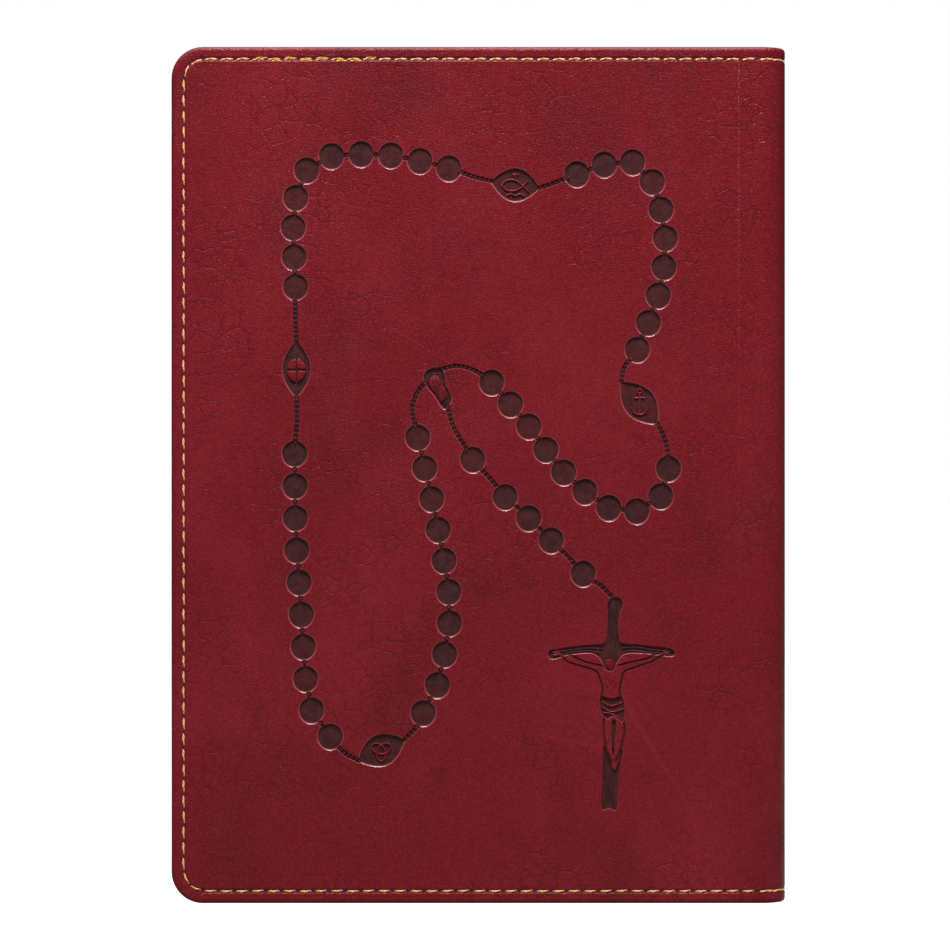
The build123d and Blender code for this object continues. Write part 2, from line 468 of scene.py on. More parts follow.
def make_fibre_group():
    """Paper and card fibres: fine flecks and a faint laid ripple."""
    group, start, end = new_group("Fibres", {"Vector": None, "Scale": 900.0}, ["Fleck", "Height"])
    stretch = put(group, "ShaderNodeMapping", {"Vector": start.outputs["Vector"]})
    stretch.inputs["Scale"].default_value = (1.0, 1.0, 0.35)
    fibres = put(
        group, "ShaderNodeTexNoise", {"Vector": stretch.outputs[0], "Scale": start.outputs["Scale"]},
        Detail=5.0,
    )
    fleck = ramp(group, fibres.outputs["Fac"], 0.35, 0.72)
    height = maths(group, "ADD", fleck, maths(group, "MULTIPLY", noise(group, start.outputs[0], 60.0), 0.8))
    group.links.new(fleck, end.inputs["Fleck"])
    group.links.new(height, end.inputs["Height"])
    return group


def make_strand_group():
    """Spun thread: thin strands that run aslant, and loose fuzz."""
    group, start, end = new_group("Strands", {"Vector": None, "Scale": 3200.0}, ["Strand", "Height"])
    turned = put(group, "ShaderNodeMapping", {"Vector": start.outputs["Vector"]})
    turned.inputs["Rotation"].default_value = (0.0, math.radians(38), 0.0)
    waves = put(
        group, "ShaderNodeTexWave", {"Vector": turned.outputs[0], "Scale": start.outputs["Scale"]},
        Distortion=1.5, Detail=1.0,
    )
    fuzz = noise(group, start.outputs["Vector"], 5200.0, 3.0)
    height = maths(group, "ADD", maths(group, "MULTIPLY", waves.outputs["Fac"], 0.7), fuzz)
    group.links.new(waves.outputs["Fac"], end.inputs["Strand"])
    group.links.new(height, end.inputs["Height"])
    return group


SHARED = {}


def shared(name, make):
    """A shared effect, built the first time that it is asked for."""
    if name not in SHARED:
        SHARED[name] = make()
    return SHARED[name]


def new_material(name, roughness, metallic=0.0):
    """A material with one Principled shader, its tree, shader and object coordinates."""
    material = bpy.data.materials.new(name)
    material.use_nodes = True
    tree = material.node_tree
    shader = tree.nodes["Principled BSDF"]
    shader.inputs["Roughness"].default_value = roughness
    shader.inputs["Metallic"].default_value = metallic
    place = put(tree, "ShaderNodeTexCoord").outputs["Object"]
    return material, tree, shader, place


def use_group(tree, group, place, **values):
    """Places a shared effect in a material."""
    node = tree.nodes.new("ShaderNodeGroup")
    node.node_tree = group
    tree.links.new(place, node.inputs["Vector"])
    for key, value in values.items():
        node.inputs[key].default_value = value
    return node


def bump(tree, shader, height, distance, strength=1.0):
    """Feeds a height into a shader's normal."""
    node = put(tree, "ShaderNodeBump", {"Height": height})
    node.inputs["Distance"].default_value = distance
    node.inputs["Strength"].default_value = strength
    tree.links.new(node.outputs[0], shader.inputs["Normal"])


def rim_highlight_material():
    """The pulled edge of a stamp: the same red, polished, with a pale pink mixed in as a painted highlight.
    """
    cover = settings("cover")
    material, tree, shader, place = new_material("Pressed rim", 0.3)
    clouds = use_group(tree, shared("clouds", make_cloud_group), place)
    grain = use_group(tree, shared("grain", make_grain_group), place)
    # painted highlight: a pale pink mixed into the rim's red, a little more where the clouds bloom
    painted_rim_highlight = (0.52, 0.15, 0.16, 1)
    pale = maths(tree, "ADD", 0.18, maths(tree, "MULTIPLY", clouds.outputs["Bloom"], 0.3))
    colour = mix_colour(tree, pale, cover.leather, painted_rim_highlight)
    tree.links.new(colour, shader.inputs["Base Color"])
    shader.inputs["Coat Weight"].default_value = 0.5
    shader.inputs["Coat Roughness"].default_value = 0.25
    bump(tree, shader, grain.outputs["Height"], 0.00004, 0.6)
    return material


def leather_material(name="Red leather", burnished=False):
    """Imitation leather: clouded red with pebbles, or the brown floor of a stamp."""
    cover = settings("cover")
    material, tree, shader, place = new_material(name, 0.46)
    grain = use_group(tree, shared("grain", make_grain_group), place)
    clouds = use_group(tree, shared("clouds", make_cloud_group), place)
    if burnished:
        worn_brown = (0.070, 0.017, 0.018, 1)
        soot = ramp(tree, noise(tree, place, 700.0, 4.0, 0.75), 0.4, 0.68)
        colour = mix_colour(tree, soot, cover.burnish, worn_brown)
        bare = maths(tree, "MULTIPLY", clouds.outputs["Bloom"], 0.3)
        colour = mix_colour(tree, bare, colour, cover.leather)
        shader.inputs["Specular IOR Level"].default_value = 0.15
        rough = maths(tree, "ADD", 0.5, maths(tree, "MULTIPLY", soot, 0.15))
        bump(tree, shader, grain.outputs["Height"], 0.00006, 0.8)
    else:
        colour = mix_colour(tree, clouds.outputs["Shade"], cover.leather, cover.shade)
        colour = mix_colour(tree, clouds.outputs["Bloom"], colour, cover.bloom)
        # Painted shade: the valleys between the pebbles, low in the bump, are mixed towards the deeper red.
        dip = maths(tree, "MULTIPLY", maths(tree, "SUBTRACT", 1.0, grain.outputs["Pebble"]), 0.5)
        colour = mix_colour(tree, dip, colour, cover.shade)
        fleck = ramp(tree, noise(tree, place, 1700.0, 5.0, 0.8), 0.48, 0.66)
        colour = mix_colour(tree, maths(tree, "MULTIPLY", fleck, 0.75), colour, cover.bloom)
        spot = ramp(tree, noise(tree, place, 1500.0, 5.0, 0.8), 0.52, 0.68)
        colour = mix_colour(tree, maths(tree, "MULTIPLY", spot, 0.85), colour, cover.shade)
        # Painted shade: the creases, low in the bump, are mixed towards the deeper red.
        crease = maths(tree, "MULTIPLY", grain.outputs["Crease"], 0.5)
        colour = mix_colour(tree, crease, colour, cover.shade)
        shader.inputs["Specular IOR Level"].default_value = 0.2
        # Painted highlight: convex edges, such as the padded outer edge and the stamps' shoulders, are mixed
        # towards the paler bloom red.
        edge = ramp(tree, put(tree, "ShaderNodeNewGeometry").outputs["Pointiness"], 0.53, 0.62)
        colour = mix_colour(tree, maths(tree, "MULTIPLY", edge, 0.35), colour, cover.bloom)
        rough = maths(tree, "ADD", 0.4, maths(tree, "MULTIPLY", clouds.outputs["Shade"], 0.12))
        rough = maths(tree, "SUBTRACT", rough, maths(tree, "MULTIPLY", grain.outputs["Pebble"], 0.06))
        bump(tree, shader, grain.outputs["Height"], 0.00013, 0.8)
    tree.links.new(colour, shader.inputs["Base Color"])
    tree.links.new(rough, shader.inputs["Roughness"])
    shader.inputs["Coat Roughness"].default_value = 0.35
    shader.inputs["Coat Weight"].default_value = 0.02
    return material


def thread_material(name, colour, dark):
    """Spun thread: darker in the low grooves between the strands as painted shade, bright on the strands."""
    material, tree, shader, place = new_material(name, 0.55)
    strands = use_group(tree, shared("strands", make_strand_group), place)
    # painted shade: the darker colour lies where the strands' bump is low
    groove_shaded_colour = mix_colour(tree, strands.outputs["Strand"], dark, colour)
    tree.links.new(groove_shaded_colour, shader.inputs["Base Color"])
    shader.inputs["Sheen Weight"].default_value = 0.3
    bump(tree, shader, strands.outputs["Height"], 0.00003, 0.8)
    return material


def paper_material(name, light, dark, scale=900.0, strength=0.35):
    """Paper or card: a pale ground with darker fibres."""
    material, tree, shader, place = new_material(name, 0.85)
    fibres = use_group(tree, shared("fibres", make_fibre_group), place, Scale=scale)
    tone = maths(tree, "MULTIPLY", fibres.outputs["Fleck"], 0.55)
    tone = maths(tree, "ADD", tone, maths(tree, "MULTIPLY", noise(tree, place, 35.0, 3.0), 0.45))
    colour = mix_colour(tree, tone, dark, light)
    tree.links.new(colour, shader.inputs["Base Color"])
    bump(tree, shader, fibres.outputs["Height"], 0.00003, strength)
    return material


def cloth_material(name, light, dark, pitch):
    """Open woven cloth: two crossed sets of threads, painted darker where the weave is low between them, as
    painted shade.
    """
    material, tree, shader, place = new_material(name, 0.8)
    split = put(tree, "ShaderNodeSeparateXYZ", {0: place})
    weave = []
    for axis in ("Y", "Z"):
        turns = maths(tree, "MULTIPLY", split.outputs[axis], 2 * math.pi / pitch)
        weave.append(maths(tree, "ABSOLUTE", maths(tree, "SINE", turns)))
    height = maths(tree, "MAXIMUM", weave[0], weave[1])
    # painted shade: the dark colour fills the low spots between the threads
    weave_hole_shade = ramp(tree, height, 0.35, 0.95)
    tree.links.new(mix_colour(tree, weave_hole_shade, dark, light), shader.inputs["Base Color"])
    bump(tree, shader, height, 0.0001, 0.7)
    return material


def use_material(piece, *materials):
    """Puts these materials on a piece, in place of any that it had."""
    piece.data.materials.clear()
    for material in materials:
        piece.data.materials.append(material)


# Leather ------------------------------------------------------------------------------------------


def round_start():
    """Where the spine's round begins, and its radius."""
    radius = -FACE - settings("cover").spine_flat / 2
    return SPINE_OUT - radius, radius


def model_half_skin(name):
    """The back half of the case's one sheet of leather, from its turn-ins to the spine's middle line."""
    start, _ = round_start()
    end = start + 2 * settings("cover").turn_in
    skin = add_block(name, (FORE, FACE, 0), (end, TURN_IN, HEAD))
    enter(skin)
    round_edges(skin, end)
    sink_groove(skin)
    open_inside(skin)
    wrap_spine(skin, start)
    leave()
    thicken(skin)
    return skin


def round_edges(skin, end):
    """Rounds the fore-edge corners, the padded outer edge and the edge of the turn-ins."""
    cover = settings("cover")
    choose(skin, "EDGE", lambda e: all_at(e, 0, FORE) and abs(e.verts[0].co.z - e.verts[1].co.z) < HAIR)
    bpy.ops.mesh.bevel(offset=cover.corner_radius, segments=12, affect="EDGES")
    inner_round = 0.35 * MM
    for face, width, steps in ((FACE, cover.edge_round, 4), (TURN_IN, inner_round, 2)):
        choose(skin, "EDGE", lambda e: all_at(e, 1, face) and not all_at(e, 0, end))
        bpy.ops.mesh.bevel(offset=width, segments=steps, affect="EDGES")
    slice_at((0, FACE + cover.wall, 0), (0, 1, 0))


def sink_groove(skin):
    """Insets the outer face into the dip that the seam pulls."""
    cover, seam = settings("cover"), settings("seam")
    choose(skin, "FACE", lambda f: all_at(f, 1, FACE))
    bpy.ops.mesh.inset(thickness=seam.inset - seam.groove / 2 - cover.edge_round)
    slope = seam.groove / 3
    bpy.ops.mesh.inset(thickness=slope, depth=-seam.sink)
    bpy.ops.mesh.inset(thickness=seam.groove - 2 * slope)
    bpy.ops.mesh.inset(thickness=slope, depth=seam.sink)


def open_inside(skin):
    """Takes away the inner face, apart from the turn-ins."""
    width = settings("cover").turn_in
    for axis, place in ((0, FORE + width), (2, width), (2, HEAD - width)):
        choose(skin, "FACE", lambda f: all_at(f, 1, TURN_IN))
        normal = [0, 0, 0]
        normal[axis] = 1
        bpy.ops.mesh.bisect(plane_co=[place * n for n in normal], plane_no=normal, threshold=HAIR)
    choose(
        skin, "FACE",
        lambda f: all_at(f, 1, TURN_IN)
        and middle_of(f).x > FORE + width and width < middle_of(f).z < HEAD - width,
    )
    bpy.ops.mesh.delete(type="FACE")


def wrap_spine(skin, start):
    """Cuts the skin off beside the spine, stops its turn-ins at the hinge and takes it round the spine."""
    cover = settings("cover")
    slice_at((start, 0, 0), (1, 0, 0), clear=True)
    strip = 0.4 * MM  # width of the strips that let the skin bend at the hinge
    for step in range(-10, 3):
        slice_at((COVER_HIGH.x + step * strip, 0, 0), (1, 0, 0))
    limit = FACE + cover.wall - HAIR
    choose(
        skin, "FACE", lambda f: middle_of(f).x > COVER_HIGH.x and all(v.co.y > limit for v in f.verts)
    )
    bpy.ops.mesh.delete(type="FACE")
    choose(
        skin, "EDGE", lambda e: all_at(e, 0, start) and all(v.co.y < limit + 2 * HAIR for v in e.verts)
    )
    bpy.ops.mesh.spin(
        steps=12, angle=-math.pi / 2, center=(start, -cover.spine_flat / 2, 0), axis=(0, 0, 1)
    )
    bpy.ops.mesh.extrude_region_move(
        TRANSFORM_OT_translate={"value": (0, cover.spine_flat / 2, 0)}
    )
    bpy.ops.mesh.select_all(action="SELECT")
    bpy.ops.mesh.remove_doubles(threshold=HAIR)


def thicken(skin):
    """Gives the sheet its thickness inwards. The turn-ins are pared to half of it."""
    pared = skin.vertex_groups.new(name="pared")
    for v in skin.data.vertices:
        inside = v.co.y > TURN_IN - 0.6 * MM and v.co.x < COVER_HIGH.x + HAIR
        pared.add([v.index], 0.5 if inside else 1.0, "REPLACE")
    thick = skin.modifiers.new("Thickness", "SOLIDIFY")
    thick.thickness = settings("cover").skin
    thick.offset = -1
    thick.use_even_offset = True
    thick.vertex_group = "pared"
    finish_modifiers(skin)
    skin.vertex_groups.clear()


def stamp_materials():
    """The leather, the floor of a stamp and its rim with its painted highlight, in the order that every
    punch keeps.
    """
    return [bpy.data.materials[name] for name in ("Red leather", "Burnished leather", "Pressed rim")]


def add_outline(name, outline, y):
    """A flat face with an outline, a list of (x, height over the middle), at one depth."""
    bpy.ops.object.select_all(action="DESELECT")
    bpy.ops.mesh.primitive_circle_add(vertices=len(outline), fill_type="NGON", radius=MM)
    shape = bpy.context.object
    shape.name = shape.data.name = name
    for vertex, (x, up) in zip(shape.data.vertices, outline):
        vertex.co = (x, y, MIDDLE + up)
    shape.data.update()
    return shape


# The profile of a stamp, from its edge inwards: (share of the shoulder's width, share of the depth).
STAMP_PROFILE = ((0.18, 0.07), (0.55, 0.68), (0.12, 0.17), (0.15, 0.08))


def stamp_block(name, outline, shoulder=None, depth=None):
    """The punch that presses one outline into the back cover: a rounded shoulder, a wall and a floor."""
    stamp = settings("stamp")
    shoulder = stamp.shoulder if shoulder is None else shoulder
    depth = stamp.depth if depth is None else depth
    proud = 0.5 * MM  # how far the punch stands outside the cover
    punch = add_outline(name, outline, FACE - proud)
    enter(punch)
    bpy.ops.mesh.select_all(action="SELECT")
    bpy.ops.mesh.extrude_region_move(TRANSFORM_OT_translate={"value": (0, proud, 0)})
    for share, drop in STAMP_PROFILE:
        bpy.ops.mesh.inset(thickness=share * shoulder)
        bpy.ops.transform.translate(value=(0, drop * depth, 0))
    face_out()
    use_material(punch, *stamp_materials())
    floor_from = FACE + 0.7 * depth
    # the floor takes the burnished leather; the shoulder and wall take the rim material with its painted
    # highlight
    for polygon in punch.data.polygons:
        deep = all(punch.data.vertices[i].co.y > floor_from for i in polygon.vertices)
        polygon.material_index = 1 if deep else 2
    return punch


def oval(x, up, wide, high, turn=0.0, count=28):
    """An oval outline about a point."""
    points = []
    for step in range(count):
        angle = 2 * math.pi * step / count
        a, b = wide / 2 * math.cos(angle), high / 2 * math.sin(angle)
        across = a * math.cos(turn) - b * math.sin(turn)
        points.append((x + across, up + a * math.sin(turn) + b * math.cos(turn)))
    return points


def pointed_oval(tip, other, width, count=14):
    """A medallion's outline: two arcs that meet at two tips."""
    first, last = Vector(tip), Vector(other)
    along = last - first
    side = Vector((-along.y, along.x)).normalized()
    points = []
    for way in (1, -1):
        for step in range(count):
            share = step / count if way == 1 else 1 - step / count
            bulge = math.sin(math.pi * share) ** 0.85 * width / 2
            points.append(tuple(first + along * share + side * way * bulge))
    return points


def curve_point(a, b, c, d, t):
    """The point at share t of the way from b to c, on the smooth curve through a, b, c and d."""
    square = 2 * a - 5 * b + 4 * c - d
    cube = 3 * b - a - 3 * c + d
    return 0.5 * (2 * b + (c - a) * t + square * t**2 + cube * t**3)


def smooth_path(points, per_span=12):
    """Points along a smooth curve that passes through the given ones."""
    knots = [Vector(p) for p in points]
    knots = [2 * knots[0] - knots[1]] + knots + [2 * knots[-1] - knots[-2]]
    path = []
    for i in range(1, len(knots) - 2):
        for step in range(per_span):
            path.append(curve_point(*knots[i - 1 : i + 3], step / per_span))
    return path + [knots[-2]]


def spread(points, count=None, pitch=None):
    """Even places along a smooth path, each with its direction."""
    path = smooth_path(points)
    lengths = [0.0]
    for a, b in zip(path, path[1:]):
        lengths.append(lengths[-1] + (b - a).length)
    count = count or max(2, round(lengths[-1] / pitch) + 1)
    places, span = [], 0
    for i in range(count):
        want = lengths[-1] * i / (count - 1)
        while span < len(path) - 2 and lengths[span + 1] < want:
            span += 1
        a, b = path[span], path[span + 1]
        share = (want - lengths[span]) / max(lengths[span + 1] - lengths[span], 1e-12)
        places.append((a.lerp(b, share), (b - a).normalized()))
    return places


def mm_points(points):
    """Points given in millimetres, in metres."""
    return [(x * MM, up * MM) for x, up in points]


# The rosary's course, in millimetres from the book's middle: x and height. Each strand holds ten beads.
DECADES = (
    ((-6.7, 68.0), (-19, 70.8), (-31, 70.9), (-37, 69), (-40.2, 63), (-41.2, 56), (-40.7, 41.7)),
    ((-40.9, 4.7), (-40.6, -13.5), (-39.6, -28), (-38.4, -46), (-37, -52.5), (-33, -58)),
    ((-12.4, -52.8), (-9.2, -46.5), (-6.7, -34), (-6.7, -26), (-9.3, -11), (-13.6, 8.3)),
    ((21.7, 66.7), (28, 68.9), (33.6, 69.5), (38.2, 65.5), (41.3, 53), (39.9, 40.4), (35.1, 27.8)),
    ((42, 1.4), (40.1, -5), (34.6, -8.1), (28.4, -7.1), (19, 0.3), (11.2, 10.6), (2.8, 20.5)),
)
PENDANT_BEADS = ((-1.4, 3.4), (5.8, -4.9), (11.0, -9.6), (16.0, -14.5), (23.1, -21.9))
MEDALLIONS = {
    "fish": ((2.4, 65.2), (13.6, 63.5), 7.8),
    "wafer": ((-40.5, 29.9), (-40.5, 16.9), 6.6),
    "anchor": ((31.4, 20.9), (39.7, 11.1), 7.4),
    "knot": ((-27.0, -63.5), (-16.3, -58.5), 7.4),
}
CHAINS = (
    ((-5.0, 67.6), (-1.5, 66.2), (2.6, 65.2)),
    ((13.2, 63.6), (16.8, 64.8), (20.3, 66.2)),
    ((-40.8, 39.8), (-40.8, 35), (-40.5, 29.6)),
    ((-40.5, 17.2), (-40.4, 12), (-40.8, 6.6)),
    ((-31.6, -59.8), (-29.6, -61.8), (-26.8, -63.3)),
    ((-16.5, -58.6), (-14.4, -56.6), (-13.0, -54.8)),
    ((-14.0, 10.4), (-14.9, 14.5), (-13.6, 18.3), (-11.8, 20.6)),
    ((34.0, 26.2), (32.2, 23.8), (31.6, 20.9)),
    ((39.5, 11.3), (41.3, 7.5), (42.0, 3.2)),
    ((1.2, 21.9), (-1.6, 23.4), (-5.0, 24.2), (-8.6, 23.4)),
    ((-7.0, 15.2), (-5.6, 10.4), (-2.4, 5.2)),
    ((0.2, 1.6), (2.4, -0.8), (4.3, -3.2)),
    ((17.8, -16.4), (19.8, -18.2), (21.5, -20.3)),
    ((24.8, -23.4), (26.8, -24.4), (29.0, -26.6)),
)
CROSS = (
    (29.0, -27.4), (30.0, -26.9), (31.5, -27.3), (32.0, -29.5), (31.4, -30.4), (31.0, -34.2), (31.3, -36.7),
    (32.2, -37.2), (35.0, -37.4), (38.5, -37.8), (41.9, -38.2), (43.3, -38.9), (43.4, -39.7), (42.6, -40.3),
    (38.1, -39.8), (35.0, -39.6), (32.7, -39.7), (31.5, -40.5), (30.6, -41.9), (29.0, -42.6), (27.6, -42.2),
    (26.8, -40.9), (26.0, -40.1), (24.6, -39.6), (21.2, -39.8), (18.8, -40.2), (17.5, -40.7), (15.5, -40.8),
    (15.3, -38.9), (17.8, -38.3), (21.2, -37.8), (25.1, -37.4), (27.8, -37.0), (28.3, -34.2), (28.4, -30.3),
    (28.3, -29.0),
)
LOINCLOTH = (
    (26.9, -49.1), (29.4, -49.4), (31.7, -49.2), (32.3, -52.1), (32.0, -54.8), (30.8, -54.2), (29.7, -53.4),
    (28.6, -54.2), (27.5, -53.6), (26.8, -51.8),
)
FOOT_OF_CROSS = (
    (27.5, -60.2), (27.95, -60.3), (28.4, -61.8), (29.2, -63.8), (30.0, -65.4), (30.8, -63.8), (31.4, -61.2),
    (31.8, -61.2), (31.3, -64.5), (30.8, -69.5), (30.5, -74.2), (28.8, -74.0), (27.1, -74.1), (27.2, -69.5),
    (27.4, -65.0),
)
BETWEEN_LEGS = ((29.5, -54.3), (30.4, -54.8), (30.3, -58.6), (29.9, -62.2), (29.6, -62.2), (29.3, -58.6))
# Thin pressed lines: the arms' upper and lower edges, the body's sides and the legs' outer edges.
FIGURE_LINES = (
    ((18.9, -39.3), (22.8, -41.1), (25.1, -41.8), (27.4, -42.3)),
    (
        (18.2, -39.9), (19.8, -41.4), (22.8, -42.4), (25.8, -43.4), (26.7, -45.0), (27.4, -47.4),
        (27.1, -49.3),
    ),
    ((40.0, -39.0), (37.3, -40.6), (33.5, -41.5), (30.9, -42.2)),
    (
        (40.9, -39.8), (38.1, -41.4), (34.3, -42.7), (32.2, -43.6), (31.6, -45.3), (31.2, -47.5),
        (31.4, -49.3),
    ),
    ((27.7, -53.8), (27.7, -57.1), (28.1, -60.2), (29.4, -64.0)),
    ((32.1, -54.6), (32.2, -57.1), (31.4, -60.6), (30.3, -63.6)),
)
TEARDROP = (
    (-8.0, 14.4), (-10.0, 17.4), (-12.1, 19.8), (-12.5, 21.6), (-11.8, 23.2), (-10.2, 24.0), (-8.4, 23.6),
    (-7.4, 22.0), (-7.3, 20.2), (-6.3, 18.2), (-5.9, 16.6), (-6.6, 15.2),
)


def closed_smooth(points, per_span=4):
    """A closed outline smoothed through its points."""
    count = len(points)
    knots = [Vector(p) for p in points]
    path = []
    for i in range(count):
        near = [knots[(i + k) % count] for k in (-1, 0, 1, 2)]
        for step in range(per_span):
            path.append(tuple(curve_point(*near, step / per_span)))
    return path


def round_strokes(name, paths, radius, rounding, taper=0.0):
    """Round strokes along paths in three dimensions, as one mesh. A taper thins them towards their ends."""
    data = bpy.data.curves.new(name, "CURVE")
    data.dimensions = "3D"
    data.bevel_depth = radius
    data.bevel_resolution = rounding
    data.use_fill_caps = True
    for path in paths:
        spline = data.splines.new("POLY")
        spline.points.add(len(path) - 1)
        for n, (point, spot) in enumerate(zip(spline.points, path)):
            point.co = (*spot, 1)
            point.radius = 1 - taper * n / len(path)
    stroke = bpy.data.objects.new(name, data)
    bpy.context.scene.collection.objects.link(stroke)
    pick(stroke)
    bpy.ops.object.convert(target="MESH")
    return bpy.context.object


def face_strokes(name, paths, radius, rise=0.0, flatten=1.0):
    """Round strokes along paths in millimetres on the back cover's face, as one closed mesh."""
    courses = []
    for path in paths:
        courses.append([(spot.x, 0, spot.y) for spot in smooth_path(mm_points(path), 8)])
    stroke = round_strokes(name, courses, radius, 2)
    stroke.data.transform(
        Matrix.Translation((0, FACE - rise, MIDDLE)) @ Matrix.Diagonal((1, flatten, 1, 1))
    )
    enter(stroke)
    bpy.ops.mesh.select_all(action="SELECT")
    bpy.ops.mesh.remove_doubles(threshold=HAIR)
    face_out()
    return stroke


def rosary_places():
    """Where the beads and the chain links lie: (place, direction) each, in metres."""
    stamp = settings("stamp")
    beads, links = [], []
    for course in DECADES:
        row = spread(mm_points(course), count=10)
        beads += row
        for (a, _), (b, _) in zip(row, row[1:]):
            links.append(((a + b) / 2, (b - a).normalized()))
    pendants = [Vector(p) for p in mm_points(PENDANT_BEADS)]
    beads += [(p, Vector((1, 0))) for p in pendants]
    for i in (1, 2):
        a, b = pendants[i], pendants[i + 1]
        links.append(((a + b) / 2, (b - a).normalized()))
    for course in CHAINS:
        links += spread(mm_points(course), pitch=stamp.link_pitch)
    return beads, links


LINK_LENGTH = 1.75 * MM
LINK_WIDTH = 1.3 * MM
HEAD_PLACE = (28.95 * MM, -42.0 * MM)  # the bowed head's, from the book's middle


def rosary_punches():
    """Every punch of the rosary, in groups whose members don't meet."""
    stamp = settings("stamp")
    beads, links = rosary_places()
    groups = []
    bead_punches = [
        stamp_block("bead", oval(p.x, p.y, stamp.bead_width, stamp.bead_height)) for p, _ in beads
    ]
    groups.append(join("bead_punches", bead_punches))
    for third in range(3):
        chosen = []
        for p, way in links[third::3]:
            turn = math.atan2(way.y, way.x)
            outline = oval(p.x, p.y, LINK_LENGTH, LINK_WIDTH, turn, 12)
            chosen.append(stamp_block("link", outline, 0.14 * MM, 0.34 * MM))
        groups.append(join(f"link_punches_{third}", chosen))
    medals = []
    for tip, other, width in MEDALLIONS.values():
        outline = pointed_oval(*mm_points((tip, other)), width * MM)
        medals.append(stamp_block("medal", outline))
    medals.append(stamp_block("drop", closed_smooth(mm_points(TEARDROP), 3)))
    groups.append(join("medal_punches", medals))
    body = face_strokes("body_lines", BODY_LINES, 0.13 * MM, rise=-0.01 * MM)
    use_material(body, *stamp_materials())
    groups.append(body)
    cross = []
    for shape in (CROSS, LOINCLOTH, FOOT_OF_CROSS, BETWEEN_LEGS):
        shoulder = 0.24 * MM if shape is CROSS else 0.13 * MM
        cross.append(stamp_block("cross", closed_smooth(mm_points(shape), 3), shoulder, 0.42 * MM))
    groups.append(join("cross_punches", cross))
    groups.append(stamp_block("head_pit", oval(*HEAD_PLACE, 2.9 * MM, 3.3 * MM), 0.15 * MM))
    for parity in (0, 1):
        name = f"figure_lines_{parity}"
        line = face_strokes(name, FIGURE_LINES[parity::2], 0.24 * MM, rise=-0.02 * MM)
        use_material(line, *stamp_materials())
        for polygon in line.data.polygons:
            polygon.material_index = 1
        groups.append(line)
    return groups


BROAD = 0.0001  # square metres; a larger face is shaded flat


def cut_with(piece, punches):
    """Cuts punches out of a closed piece, which takes their materials on the cut faces."""
    for punch in punches:
        cut = piece.modifiers.new("Cut", "BOOLEAN")
        cut.operation = "DIFFERENCE"
        cut.solver = "EXACT"
        cut.material_mode = "INDEX"
        cut.object = punch
    finish_modifiers(piece)
    remove(*punches)


class PB_OT_leather(bpy.types.Operator):
    """Model both halves of the leather case and press the rosary into the back cover"""

    bl_idname = "pb.leather"
    bl_label = "Leather case"

    def execute(self, context):
        red = leather_material()
        floor = leather_material("Burnished leather", burnished=True)
        back = model_half_skin("back_leather")
        front = mirror_over(copy_of(back, "front_leather"))
        rim = rim_highlight_material()
        use_material(back, red, floor, rim)
        use_material(front, red)
        cut_with(back, rosary_punches())
        for piece, side in ((back, "back"), (front, "front")):
            smooth(piece, 42)
            for polygon in piece.data.polygons:
                if polygon.area > BROAD:
                    polygon.use_smooth = False
            settle_normals(piece)
            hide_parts(f"{side}_cover_skin")
            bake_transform(piece)
        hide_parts("spine_skin")
        return {"FINISHED"}


# Relief inside the stamps -------------------------------------------------------------------------


def raised_block(name, outline, foot, top, edge):
    """A raised shape inside a stamp, between two depths below the cover's face, with a rounded edge."""
    block = add_outline(name, outline, FACE + foot)
    enter(block)
    bpy.ops.mesh.select_all(action="SELECT")
    bpy.ops.mesh.extrude_region_move(TRANSFORM_OT_translate={"value": (0, 0.6 * (top - foot), 0)})
    for share, rise in ((0.3, 0.25), (0.7, 0.15)):
        bpy.ops.mesh.inset(thickness=share * edge)
        bpy.ops.transform.translate(value=(0, rise * (top - foot), 0))
    face_out()
    return block


def about(middle, points):
    """Points in millimetres moved to lie about a middle."""
    return [(middle[0] + x, middle[1] + up) for x, up in points]


# The middles of the signs on the medallions, in millimetres.
FISH_AT = (8.0, 64.1)
ANCHOR_AT = (35.6, 15.9)
KNOT_AT = (-21.7, -61.1)
WAFER_AT = (-40.5, 23.3)


def emblem_lines():
    """The raised lines of the emblems, all of them common devotional signs."""
    fish = about(FISH_AT, ((-3.1, 0.2), (-1.6, 1.35), (0.6, 1.0), (3.0, -1.3)))
    belly = about(FISH_AT, ((-3.1, 0.2), (-1.7, -0.95), (0.6, -0.8), (2.9, 1.1)))
    ripples = about(FISH_AT, ((-1.9, -2.1), (-1.0, -1.75), (0.0, -2.15), (1.0, -1.8), (2.0, -2.2)))
    stem = about(FISH_AT, ((0.1, 1.7), (0.1, 3.1)))
    bar = about(FISH_AT, ((-0.55, 2.55), (0.75, 2.5)))
    shank = about(ANCHOR_AT, ((0.0, 2.2), (0.0, -2.4)))
    stock = about(ANCHOR_AT, ((-1.2, 1.2), (1.2, 1.2)))
    arms = about(ANCHOR_AT, ((-1.9, -0.7), (-1.3, -2.0), (0.0, -2.5), (1.3, -2.0), (1.9, -0.7)))
    eye = [(0.5 * math.cos(t * math.pi / 5), 2.7 + 0.5 * math.sin(t * math.pi / 5)) for t in range(11)]
    ring = about(ANCHOR_AT, eye)
    loops = []
    for step in range(43):
        t = 2 * math.pi * step / 42
        x = 0.78 * (math.sin(t) + 2 * math.sin(2 * t))
        up = 0.78 * (math.cos(t) - 2 * math.cos(2 * t))
        loops.append((x, up))
    knot = about(KNOT_AT, loops)
    return [fish, belly, ripples, stem, bar, shank, stock, arms, ring, knot]


